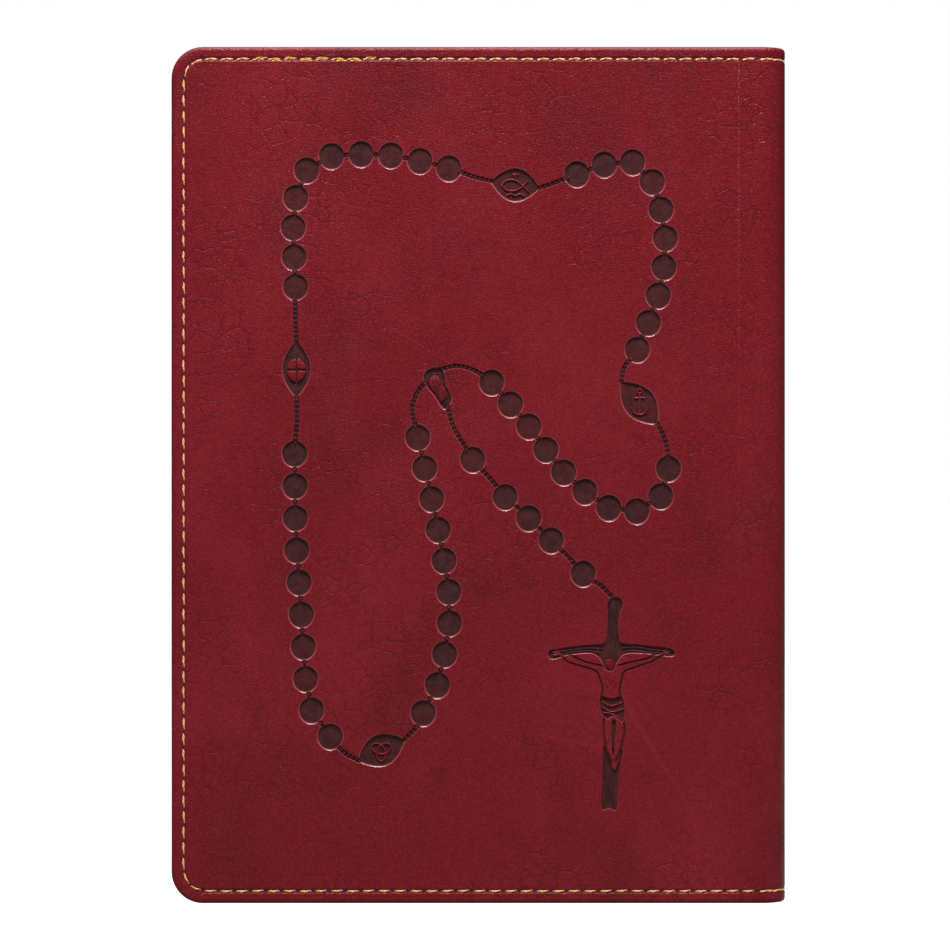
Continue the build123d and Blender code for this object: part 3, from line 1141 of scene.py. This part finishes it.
def wafer_quarters():
    """The round wafer, in four raised quarters with a cross left between them."""
    gap, wide, high = 0.16, 2.15, 2.6
    squeeze = 0.97  # the upper quarters are a little lower
    quarters = []
    for right in (-1, 1):
        for up in (-1, 1):
            quarter = [(gap, gap)]
            for step in range(9):
                angle = math.radians(4 + 82 * step / 8)
                quarter.append((wide * math.cos(angle), high * math.sin(angle)))
            tall = 1.0 if up < 0 else squeeze
            spots = [(WAFER_AT[0] + right * x, WAFER_AT[1] + up * (y * tall)) for x, y in quarter]
            if right * up < 0:
                spots.reverse()
            foot = settings("stamp").depth * 1.1
            quarters.append(raised_block("quarter", mm_points(spots), foot, 0.08 * MM, 0.22 * MM))
    return quarters


# Lines in millimetres from the book's middle, each with the points that its bends need.
VEIL_LINES = (
    ((-11.4, 21.0), (-10.4, 22.3), (-8.9, 22.2), (-8.5, 20.6), (-9.3, 18.8), (-8.4, 16.6)),
    ((-10.3, 20.6), (-9.7, 21.2), (-9.3, 20.5), (-9.9, 19.3)),
    ((-7.9, 18.6), (-7.4, 17.2), (-7.6, 15.7)),
)
CLOTH_FOLDS = (
    ((27.3, -50.2), (29.2, -51.2), (31.8, -50.4)),
    ((27.2, -51.4), (29.3, -52.5), (31.9, -51.9)),
    ((27.6, -52.8), (28.8, -52.8), (30.4, -53.4), (31.5, -54.2)),
)
WOOD_LINES = (
    ((28.9, -28.4), (29.1, -31.0), (28.9, -34.0), (29.3, -37.6)),
    ((30.6, -28.2), (30.3, -31.6), (30.5, -34.6), (30.1, -38.0)),
    ((29.8, -29.4), (29.7, -33.2), (29.8, -36.4)),
    ((28.0, -66.2), (28.2, -69.2), (27.9, -72.8)),
    ((29.9, -66.0), (29.6, -69.8), (29.7, -73.0)),
    ((28.9, -65.4), (28.9, -68.6), (28.8, -72.2)),
    ((16.2, -39.3), (19.8, -38.9), (23.4, -38.4), (27.4, -38.5)),
    ((17.2, -40.1), (20.6, -39.3), (24.2, -39.0), (26.6, -39.5)),
    ((42.6, -39.2), (38.6, -38.8), (35.0, -38.2), (31.6, -38.4)),
    ((41.4, -39.7), (37.4, -39.3), (34.0, -39.0), (32.2, -39.2)),
)
HAND_LINES = (
    ((19.2, -40.4), (18.2, -39.9), (17.5, -39.2), (17.1, -38.7)),
    ((18.2, -39.9), (17.3, -39.8), (16.5, -39.9)),
    ((18.2, -39.9), (17.2, -39.5), (16.6, -39.3)),
    ((39.6, -40.1), (40.6, -39.7), (41.2, -39.1), (41.5, -38.7)),
    ((40.6, -39.7), (41.4, -39.6), (42.2, -39.8)),
    ((40.6, -39.7), (41.6, -39.4), (42.1, -39.2)),
)
BODY_LINES = (
    ((28.1, -44.6), (28.7, -45.3), (29.1, -46.6)),
    ((30.6, -44.6), (30.0, -45.3), (29.5, -46.6)),
    ((27.9, -46.0), (28.3, -46.7), (28.5, -47.4)),
    ((30.7, -46.0), (30.2, -46.7), (30.0, -47.4)),
    ((29.1, -48.4), (29.2, -48.6)),
    ((28.0, -58.9), (28.5, -59.2), (28.9, -58.9)),
    ((30.8, -58.8), (31.2, -59.1), (31.7, -58.8)),
    ((28.9, -62.6), (29.5, -63.2), (30.6, -62.5)),
)


def soft_push(piece, place, reach, shift):
    """Pushes the vertices about a place, less and less up to the reach."""
    spot = Vector(place)
    nearest = min((v.co - spot).length for v in bmesh.from_edit_mesh(piece.data).verts)
    choose(piece, "VERT", lambda v: (v.co - spot).length < nearest + 0.02)
    bpy.ops.transform.translate(
        value=shift, use_proportional_edit=True, proportional_edit_falloff="SMOOTH", proportional_size=reach
    )


def add_ball(name, place, radii, segments=14, rings=8):
    """An egg shape with its place in its mesh."""
    bpy.ops.object.select_all(action="DESELECT")
    bpy.ops.mesh.primitive_uv_sphere_add(segments=segments, ring_count=rings, radius=1)
    ball = bpy.context.object
    ball.name = ball.data.name = name
    ball.data.transform(Matrix.Translation(place) @ Matrix.Diagonal((*radii, 1)))
    return ball


def strand_of_hair(path, radius):
    """A lock along a path in three dimensions, thinner towards its end."""
    return round_strokes("lock", [smooth_path(path, 5)], radius, 1, taper=0.6)


def model_head():
    """A bowed head with a calm, plain face: closed eyes, straight nose, short beard, hair parted in two.

    Until the last lines a length of 1 is half the skull's height, and the face looks towards -Y."""
    head = add_ball("head", (0, 0, 0), (0.74, 0.8, 1.0), 32, 24)
    enter(head)
    soft_push(head, (0, -0.74, 0.36), 0.45, (0, -0.03, 0))
    for side in (-1, 1):
        soft_push(head, (side * 0.27, -0.7, 0.1), 0.24, (0, 0.10, 0))
        soft_push(head, (side * 0.44, -0.52, -0.16), 0.26, (0, -0.05, 0))
    soft_push(head, (0, -0.78, 0.0), 0.17, (0, -0.12, 0))
    soft_push(head, (0, -0.8, -0.16), 0.15, (0, -0.13, 0))
    soft_push(head, (0, -0.72, -0.42), 0.13, (0, 0.05, 0))
    soft_push(head, (0, -0.5, -0.78), 0.42, (0, -0.14, -0.2))
    leave()
    parts = [head]
    for side in (-1, 1):
        parts.append(add_ball("lid", (side * 0.27, -0.63, 0.1), (0.145, 0.09, 0.085)))
        parts.append(strand_of_hair(
            ((side * 0.12, -0.78, 0.22), (side * 0.28, -0.76, 0.29), (side * 0.45, -0.62, 0.22)), 0.045))
        parts.append(strand_of_hair(
            ((side * 0.02, -0.83, -0.27), (side * 0.16, -0.79, -0.33), (side * 0.26, -0.68, -0.48)), 0.055))
        parts.append(add_ball("nostril", (side * 0.07, -0.84, -0.17), (0.05, 0.06, 0.05), 10, 6))
        for n in range(7):
            root = Vector((side * (0.03 + 0.05 * n), -0.66 + 0.11 * n, 0.80 + 0.03 * n))
            wave = 0.05 * math.sin(2.2 * n)
            parts.append(strand_of_hair(
                (
                    root,
                    (side * (0.52 + 0.03 * n), -0.56 + 0.11 * n, 0.52 + 0.02 * n),
                    (side * (0.78 + wave), -0.36 + 0.1 * n, 0.0),
                    (side * (0.74 - wave), -0.34 + 0.1 * n, -0.5),
                    (side * (0.86 + wave), -0.28 + 0.08 * n, -1.02 - 0.03 * n),
                ),
                0.115,
            ))
    for n in range(-3, 4):
        parts.append(strand_of_hair(
            (
                (0.13 * n, -0.66 + 0.02 * abs(n), -0.54),
                (0.12 * n, -0.66 + 0.03 * abs(n), -0.82),
                (0.07 * n, -0.52, -1.16 + 0.05 * abs(n)),
            ),
            0.085,
        ))
    parts.append(strand_of_hair(((-0.14, -0.77, -0.45), (0, -0.79, -0.46), (0.14, -0.77, -0.45)), 0.05))
    whole = join("crucifix_head", parts)
    bowed = Matrix.Rotation(math.radians(-16), 4, "Y") @ Matrix.Rotation(math.radians(14), 4, "X")
    rise = 0.15 * MM  # the head sits a little high in its pit
    place = Matrix.Translation((HEAD_PLACE[0], FACE + 0.5 * MM, MIDDLE + HEAD_PLACE[1] + rise))
    size = Matrix.Diagonal((1.1 * MM, 0.5 * MM, 1.1 * MM, 1))
    whole.data.transform(place @ size @ bowed)
    return whole


class PB_OT_relief(bpy.types.Operator):
    """Raise the emblems, the wafer, the veil, the figure's head and folds, and the chains' dots"""

    bl_idname = "pb.relief"
    bl_label = "Relief"

    def execute(self, context):
        depth = settings("stamp").depth
        red = bpy.data.materials["Red leather"]
        floor = bpy.data.materials["Burnished leather"]
        strokes = face_strokes("emblems", emblem_lines(), 0.19 * MM, rise=-0.78 * depth, flatten=0.9)
        veil = face_strokes("veil", VEIL_LINES, 0.15 * MM, rise=-0.17 * MM)
        middle = Vector((-9.25, 19.3))
        inner = [tuple(middle + (Vector(p) - middle) * 0.62) for p in closed_smooth(TEARDROP, 3)]
        core = raised_block("core", mm_points(inner), depth * 1.1, 0.12 * MM, 0.16 * MM)
        folds = face_strokes("folds", CLOTH_FOLDS, 0.16 * MM, rise=-0.3 * MM)
        hands = face_strokes("hands", HAND_LINES, 0.2 * MM, rise=-0.22 * MM)
        wood = face_strokes("wood", WOOD_LINES, 0.13 * MM, rise=-0.33 * MM)
        reliefs = (
            ("emblem_relief", [strokes, core, folds, hands], red),
            ("wafer_relief", wafer_quarters(), red),
            ("chain_dots", self.chain_dots(), red),
            ("crucifix_head", [model_head()], red),
            ("burnished_relief", [wood, veil], floor),
        )
        for name, parts, material in reliefs:
            piece = join(name, parts)
            use_material(piece, material)
            smooth(piece, 50)
            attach(piece, "back_cover")
        return {"FINISHED"}

    def chain_dots(self):
        """A small raised dot between every two links."""
        model = add_ball("dot", (0, 0, 0), (0.19 * MM, 0.2 * MM, 0.19 * MM), 8, 5)
        rows = [spread(mm_points(course), count=10) for course in DECADES]
        rows += [spread(mm_points(course), pitch=settings("stamp").link_pitch) for course in CHAINS]
        dots = []
        for row in rows:
            for (a, _), (b, _) in zip(row, row[1:]):
                dot = copy_of(model, "dot")
                spot = (a + b) / 2
                dot.data.transform(Matrix.Translation((spot.x, FACE + 0.2 * MM, MIDDLE + spot.y)))
                dots.append(dot)
        remove(model)
        return dots


# Stitching ----------------------------------------------------------------------------------------


DOUBLED = (-50.5 * MM, -24 * MM)  # where the seam at the back cover's head is sewn twice, along X


def seam_places():
    """The middle, direction and outward normal of each stitch, and each needle hole, of the back half."""
    cover, seam = settings("cover"), settings("seam")
    start, radius = round_start()
    corner_x = FORE + cover.corner_radius
    low, high = seam.inset, HEAD - seam.inset
    bow = cover.corner_radius - seam.inset
    out = Vector((0, -1, 0))
    stitches, holes = [], []

    def row(a, b, count):
        a, b = Vector(a), Vector(b)
        for i in range(count):
            stitches.append((a.lerp(b, (i + 0.5) / count), (b - a).normalized(), out))
            holes.append((a.lerp(b, i / count), out))

    across = round((HINGE - corner_x) / seam.pitch)
    along = round((HEAD - 2 * cover.corner_radius) / seam.pitch)
    row((HINGE, FACE, low), (corner_x, FACE, low), across)
    for middle, first in ((cover.corner_radius, 270), (HEAD - cover.corner_radius, 180)):
        for step in range(2):
            spots = []
            for turn in (first - 45 * step, first - 45 * (step + 1)):
                t = math.radians(turn)
                spots.append(Vector((corner_x + bow * math.cos(t), FACE, middle + bow * math.sin(t))))
            stitches.append(((spots[0] + spots[1]) / 2, (spots[1] - spots[0]).normalized(), out))
            holes.append((spots[0], out))
        if first == 270:
            row((FORE + seam.inset, FACE, cover.corner_radius),
                (FORE + seam.inset, FACE, HEAD - cover.corner_radius), along)
    row((corner_x, FACE, high), (HINGE, FACE, high), across)
    # over the spine's round and to its middle line
    for z in (low, high):
        for step in range(3):
            angle = math.radians(30 * step + 15)
            turned = Vector((math.sin(angle), -math.cos(angle), 0))
            middle = Vector((start, -cover.spine_flat / 2, z)) + radius * turned
            stitches.append((middle, Vector((math.cos(angle), math.sin(angle), 0)), turned))
            edge = math.radians(30 * step)
            turned = Vector((math.sin(edge), -math.cos(edge), 0))
            holes.append((Vector((start, -cover.spine_flat / 2, z)) + radius * turned, turned))
    return stitches, holes


def model_stitch(length, width):
    """One stitch along X: a twisted six-sided bar of thread that goes down into the leather at both ends."""
    steps = 7
    twist = math.radians(38)  # between two steps
    flat = 0.62  # the bar's thickness as a share of its width
    bpy.ops.object.select_all(action="DESELECT")
    bpy.ops.mesh.primitive_circle_add(
        vertices=6, radius=width / 2, fill_type="NGON",
        rotation=(0, math.pi / 2, 0), location=(-length / 2, 0, 0),
    )
    stitch = bpy.context.object
    bpy.ops.object.transform_apply(location=True, rotation=True, scale=True)
    stitch.name = stitch.data.name = "stitch"
    stitch.data.transform(Matrix.Diagonal((1, 1, flat, 1)))
    enter(stitch)
    bpy.ops.mesh.select_all(action="SELECT")
    for step in range(steps):
        bpy.ops.mesh.extrude_region_move(TRANSFORM_OT_translate={"value": (length / steps, 0, 0)})
        here = -length / 2 + length * (step + 1) / steps
        bpy.ops.transform.rotate(value=twist, orient_axis="X", center_override=(here, 0, 0))
    face_out()
    # bow the thread: proud in its middle, thinner and lower at its ends
    for v in stitch.data.vertices:
        share = 2 * v.co.x / length
        v.co.y *= 1 - 0.45 * abs(share) ** 5
        v.co.z *= 1 - 0.35 * abs(share) ** 5
        v.co.z += 0.04 * MM * (1 - abs(share) ** 3) - 0.12 * MM * abs(share) ** 8
    return stitch


def place_stitch(model, middle, way, out, lean, name):
    """A copy of the model stitch, laid along the seam."""
    piece = copy_of(model, name)
    side = out.cross(way)
    frame_of = Matrix((way, side, out)).transposed().to_4x4()
    spin = Matrix.Rotation(lean, 4, "Z")
    piece.data.transform(Matrix.Translation(middle) @ frame_of @ spin)
    return piece


class PB_OT_stitching(bpy.types.Operator):
    """Sew both halves of the case along the edge, and put painted shade in the needle holes"""

    bl_idname = "pb.stitching"
    bl_label = "Edge stitching"

    def execute(self, context):
        seam = settings("seam")
        gold = thread_material("Golden thread", seam.gold, (0.55, 0.22, 0.05, 1))
        deep = thread_material("Doubled thread", seam.deep_gold, (0.42, 0.16, 0.02, 1))
        draw = random.Random(11)
        model = model_stitch(seam.pitch - seam.gap, seam.thread)
        stitches, holes = seam_places()
        sunk = seam.sink + 0.1 * MM
        made = []
        for n, (middle, way, out) in enumerate(stitches):
            spot = middle - out * sunk + way.cross(out) * draw.uniform(-0.05, 0.05) * MM
            lean = math.radians(3.0 + draw.uniform(-1.6, 1.6))
            piece = place_stitch(model, spot, way, out, lean, f"stitch{n}")
            use_material(piece, gold, deep)
            made.append(piece)
            on_face = abs(middle.y - FACE) < HAIR
            if middle.z > MIDDLE and DOUBLED[0] < middle.x < DOUBLED[1] and on_face:
                over = spot + way * seam.pitch * draw.uniform(0.0, 0.3)
                over += Vector((0, -0.01, draw.choice((-0.36, 0.30)) + draw.uniform(-0.08, 0.08))) * MM
                lean = math.radians(draw.uniform(-4, 3))
                twin = place_stitch(model, over, way, out, lean, f"twin{n}")
                use_material(twin, gold, deep)
                for polygon in twin.data.polygons:
                    polygon.material_index = 1
                for polygon in piece.data.polygons:
                    polygon.material_index = 1
                made.append(twin)
        back = join("back_thread", made)
        back_holes = join("back_needle_holes", [self.needle_hole(spot, out) for spot, out in holes])
        use_material(back_holes, self.hole_shade_material())
        remove(model)
        for piece in (back, back_holes):
            smooth(piece, 70)
            front = mirror_over(copy_of(piece, piece.name.replace("back", "front")))
            for half, side in ((piece, "back"), (front, "front")):
                if half.name.endswith("thread"):
                    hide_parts(f"{side}_cover_stitches")
                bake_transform(half)
        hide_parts("spine_stitches")
        return {"FINISHED"}

    def needle_hole(self, spot, out):
        """A needle hole's painted shade: a thin disc, just above the floor of the seam's groove."""
        seam = settings("seam")
        bpy.ops.object.select_all(action="DESELECT")
        bpy.ops.mesh.primitive_circle_add(vertices=8, radius=seam.hole, fill_type="NGON")
        mark = bpy.context.object
        turn = Vector((0, 0, 1)).rotation_difference(out).to_matrix().to_4x4()
        below = seam.sink - 0.03 * MM
        mark.data.transform(Matrix.Translation(spot - out * below) @ turn)
        enter(mark)
        bpy.ops.mesh.select_all(action="SELECT")
        bpy.ops.mesh.extrude_region_move(TRANSFORM_OT_translate={"value": -out * 0.02 * MM})
        face_out()
        return mark

    def hole_shade_material(self):
        """The painted shade of a needle hole: a near-black red."""
        material, tree, shader, place = new_material("Needle hole", 0.9)
        # painted shade: near-black red flecked by noise stands in for the hole's shadow
        dark = mix_colour(tree, noise(tree, place, 2600.0), (0.02, 0.004, 0.004, 1), (0.06, 0.012, 0.012, 1))
        tree.links.new(dark, shader.inputs["Base Color"])
        return material


# Leaves -------------------------------------------------------------------------------------------


def model_leaf(name, low, high, corner_radius, bend_x, bend):
    """One leaf, rounded at its fore-edge corners, with edges to bend along near the gutter."""
    leaf = add_block(name, low, high)
    enter(leaf)
    choose(leaf, "EDGE", lambda e: all_at(e, 0, low[0]) and abs(e.verts[0].co.z - e.verts[1].co.z) < HAIR)
    bpy.ops.mesh.bevel(offset=corner_radius, segments=7, affect="EDGES")
    if bend_x is not None:
        for step in range(9):
            slice_at((bend_x - bend * step / 8, 0, 0), (1, 0, 0))
    leave()
    return leaf


def model_section(name, low, high, bend_x, seed):
    """A section's leaves, one over the other, with trimmed edges that differ by a hair."""
    sheet = settings("leaf")
    draw = random.Random(seed)
    pitch = (high[1] - low[1]) / sheet.per_section
    first = (high[0], low[1] + pitch - sheet.air, high[2])
    model = model_leaf("leaf_model", low, first, sheet.corner_radius, bend_x, sheet.bend)
    made = []
    for n in range(sheet.per_section):
        leaf = copy_of(model, f"leaf{n}")
        drop = draw.uniform(0, sheet.wander)
        rise = draw.uniform(0, sheet.wander)
        back = draw.uniform(0, sheet.wander)
        for v in leaf.data.vertices:
            v.co.y += pitch * n
            if v.co.z < MIDDLE:
                v.co.z += drop
            else:
                v.co.z -= rise
            if v.co.x < low[0] + sheet.corner_radius + HAIR:
                v.co.x += back
        made.append(leaf)
    remove(model)
    return join(name, made)


class PB_OT_leaves(bpy.types.Operator):
    """Model the leaves of every section, and both flyleaves"""

    bl_idname = "pb.leaves"
    bl_label = "Leaves"

    def execute(self, context):
        paper = paper_material("Page paper", (0.86, 0.80, 0.66, 1), (0.72, 0.64, 0.49, 1))
        endpaper = paper_material("Endpaper", (0.80, 0.71, 0.54, 1), (0.66, 0.55, 0.38, 1), 500.0, 0.6)
        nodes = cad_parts
        sheet = settings("leaf")
        for number in range(1, 13):
            whole = f"section_{number:02d}"
            if whole in nodes:
                low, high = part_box(whole)
                piece = model_section(f"{whole}_pages", low, high, None, number)
                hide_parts(whole)
                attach(piece, "text_block")
            else:
                low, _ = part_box(f"{whole}_leaves")
                outer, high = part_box(f"{whole}_fold")
                piece = model_section(f"{whole}_pages", low, high, outer.x, number)
                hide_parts(f"{whole}_leaves", f"{whole}_fold")
                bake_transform(piece)
            use_material(piece, paper)
        for side in ("back", "front"):
            low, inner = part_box(f"{side}_flyleaf")
            outer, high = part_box(f"{side}_flyleaf_joint")
            piece = model_leaf(
                f"{side}_endleaf", low, (high.x, inner.y, high.z), sheet.corner_radius, outer.x, sheet.bend
            )
            use_material(piece, endpaper)
            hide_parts(f"{side}_flyleaf", f"{side}_flyleaf_joint")
            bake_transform(piece)
            use_material(nodes[f"{side}_cover_pastedown"], endpaper)
        return {"FINISHED"}


# Bands and what the case hides --------------------------------------------------------------------


class PB_OT_binding(bpy.types.Operator):
    """Wind the head and tail bands, and finish the boards, cards, lining and sewing thread"""

    bl_idname = "pb.binding"
    bl_label = "Bands and binding"

    def execute(self, context):
        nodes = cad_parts
        red_silk = thread_material("Red silk", (0.33, 0.02, 0.03, 1), (0.16, 0.008, 0.012, 1))
        cream_silk = thread_material("Cream silk", (0.86, 0.74, 0.50, 1), (0.60, 0.46, 0.25, 1))
        for name in ("head_band", "tail_band"):
            low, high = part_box(name)
            band = self.wind_band(name, low, high, red_silk, cream_silk)
            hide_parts(name)
            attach(band, "text_block")
        board = paper_material("Grey board", (0.36, 0.32, 0.27, 1), (0.24, 0.21, 0.17, 1), 700.0, 0.8)
        card = paper_material("Manila card", (0.66, 0.55, 0.36, 1), (0.52, 0.41, 0.25, 1), 700.0, 0.6)
        linen = thread_material("Linen thread", (0.82, 0.77, 0.66, 1), (0.55, 0.48, 0.36, 1))
        mull = cloth_material("Mull", (0.78, 0.74, 0.64, 1), (0.42, 0.38, 0.30, 1), 0.7 * MM)
        for side in ("back", "front"):
            use_material(nodes[f"{side}_cover_board"], board)
            use_material(nodes[f"{side}_cover_infill"], card)
        use_material(nodes["spine_card"], card)
        use_material(nodes["spine_lining"], mull)
        use_material(nodes["sewing_thread"], linen)
        return {"FINISHED"}

    def wind_band(self, name, low, high, red, cream):
        """A band: a row of wound silk ridges in two colours, on its tape."""
        at_head = low.z > MIDDLE
        radius = 0.8 * MM
        tape_thickness = 0.2 * MM
        rounds = 22
        pitch = (high.y - low.y) / rounds
        middle_z = high.z - radius if at_head else low.z + radius
        ridges = []
        for n in range(rounds):
            bpy.ops.object.select_all(action="DESELECT")
            bpy.ops.mesh.primitive_cylinder_add(
                vertices=14, radius=radius, depth=pitch, rotation=(math.pi / 2, 0, 0),
                location=(high.x - radius, low.y + pitch * (n + 0.5), middle_z),
            )
            ridge = bpy.context.object
            bpy.ops.object.transform_apply(location=True, rotation=True, scale=True)
            enter(ridge)
            choose(ridge, "EDGE", lambda e: abs(e.verts[0].co.y - e.verts[1].co.y) < HAIR)
            bpy.ops.mesh.bevel(offset=pitch * 0.36, segments=2, affect="EDGES")
            leave()
            use_material(ridge, red, cream)
            for polygon in ridge.data.polygons:
                polygon.material_index = (n // 2) % 2
            ridges.append(ridge)
        tape_low = low.z if at_head else middle_z
        tape_high = middle_z if at_head else high.z
        tape = add_block("tape", (high.x - tape_thickness, low.y, tape_low), (high.x, high.y, tape_high))
        use_material(tape, cream, red)
        band = join(f"{name}_silk", [*ridges, tape])
        smooth(band, 60)
        return band


# Stage --------------------------------------------------------------------------------------------


class PB_OT_stage(bpy.types.Operator):
    """Set the floor, the lights and the camera"""

    bl_idname = "pb.stage"
    bl_label = "Stage"

    def execute(self, context):
        stage = settings("stage")
        scene = context.scene
        scene.view_settings.view_transform = "Standard"
        self.sweep(self.floor_material())
        world = bpy.data.worlds.new("Studio")
        world.use_nodes = True
        world.node_tree.nodes["Background"].inputs[0].default_value = (1, 1, 1, 1)
        world.node_tree.nodes["Background"].inputs[1].default_value = 0.08
        scene.world = world
        self.light("Overhead", (0.0, -0.36, 0.92), (0, 0, 0.10), 0.5, 0.22, stage.key)
        self.light("Front", (-0.35, -1.0, 0.45), (0, 0, 0.09), 0.7, 0.7, stage.fill)
        self.light("Spine", (0.75, -0.28, 0.42), (0.06, 0, 0.12), 0.12, 0.6, 0.4)
        self.light("Backdrop", (0.0, 0.25, 0.9), (0, 0.5, 0), 0.9, 0.5, 6.0)
        camera = bpy.data.cameras.new("Camera")
        camera.lens = stage.lens
        camera.clip_end = 20
        view = bpy.data.objects.new("Camera", camera)
        distance = stage.span * stage.lens / camera.sensor_width
        view.location = (stage.aside, FACE - distance, MIDDLE)
        view.rotation_euler = (math.pi / 2, 0, 0)
        scene.collection.objects.link(view)
        scene.camera = view
        return {"FINISHED"}

    def floor_material(self):
        """A pale floor that looks bright by itself but throws none of that light on the book."""
        material, tree, shader, place = new_material("Pale floor", 0.9)
        speck = noise(tree, place, 300.0, 3.0)
        grey = mix_colour(tree, speck, (0.24, 0.24, 0.24, 1), (0.28, 0.28, 0.28, 1))
        tree.links.new(grey, shader.inputs["Base Color"])
        glow = mix_colour(tree, speck, (0.95, 0.95, 0.95, 1), (0.99, 0.99, 0.99, 1))
        tree.links.new(glow, shader.inputs["Emission Color"])
        seen = put(tree, "ShaderNodeLightPath").outputs["Is Camera Ray"]
        tree.links.new(maths(tree, "MULTIPLY", seen, 0.98), shader.inputs["Emission Strength"])
        return material

    def sweep(self, material):
        """A floor that sweeps up behind the book into a backdrop."""
        bpy.ops.object.select_all(action="DESELECT")
        bpy.ops.mesh.primitive_plane_add(size=6)
        floor = bpy.context.object
        floor.name = floor.data.name = "floor"
        enter(floor)
        choose(floor, "EDGE", lambda e: all(v.co.y > 1 for v in e.verts))
        bpy.ops.mesh.extrude_region_move(TRANSFORM_OT_translate={"value": (0, 0, 3)})
        choose(floor, "EDGE", lambda e: all(v.co.y > 1 and abs(v.co.z) < HAIR for v in e.verts))
        bpy.ops.mesh.bevel(offset=1.2, segments=24, affect="EDGES")
        leave()
        smooth(floor)
        use_material(floor, material)

    def light(self, name, place, target, wide, high, power):
        """A soft rectangular lamp, aimed at a point."""
        lamp = bpy.data.lights.new(name, "AREA")
        lamp.shape = "RECTANGLE"
        lamp.size, lamp.size_y = wide, high
        lamp.energy = power
        stand = bpy.data.objects.new(name, lamp)
        stand.location = place
        stand.rotation_euler = (Vector(target) - Vector(place)).to_track_quat("-Z", "Y").to_euler()
        bpy.context.scene.collection.objects.link(stand)


class PB_PT_panel(bpy.types.Panel):
    """The book's finishing steps"""

    bl_label = "Prayer book"
    bl_idname = "PB_PT_panel"
    bl_space_type = "VIEW_3D"
    bl_region_type = "UI"
    bl_category = "Prayer book"

    def draw(self, context):
        for operator in OPERATORS:
            self.layout.operator(operator.bl_idname)


GROUPS = {
    "cover": PB_CoverSettings,
    "seam": PB_SeamSettings,
    "stamp": PB_StampSettings,
    "leaf": PB_LeafSettings,
    "stage": PB_StageSettings,
}
OPERATORS = (PB_OT_leather, PB_OT_relief, PB_OT_stitching, PB_OT_leaves, PB_OT_binding, PB_OT_stage)


def register():
    for name, group in GROUPS.items():
        bpy.utils.register_class(group)
        setattr(bpy.types.Scene, f"pb_{name}", bpy.props.PointerProperty(type=group))
    for operator in OPERATORS:
        bpy.utils.register_class(operator)
    bpy.utils.register_class(PB_PT_panel)


def unregister():
    bpy.utils.unregister_class(PB_PT_panel)
    for operator in reversed(OPERATORS):
        bpy.utils.unregister_class(operator)
    for name, group in GROUPS.items():
        delattr(bpy.types.Scene, f"pb_{name}")
        bpy.utils.unregister_class(group)


def main():
    register()
    bpy.ops.pb.stage()
    bpy.ops.pb.leather()
    bpy.ops.pb.relief()
    bpy.ops.pb.stitching()
    bpy.ops.pb.leaves()
    bpy.ops.pb.binding()


if __name__ == "__main__":
    main()
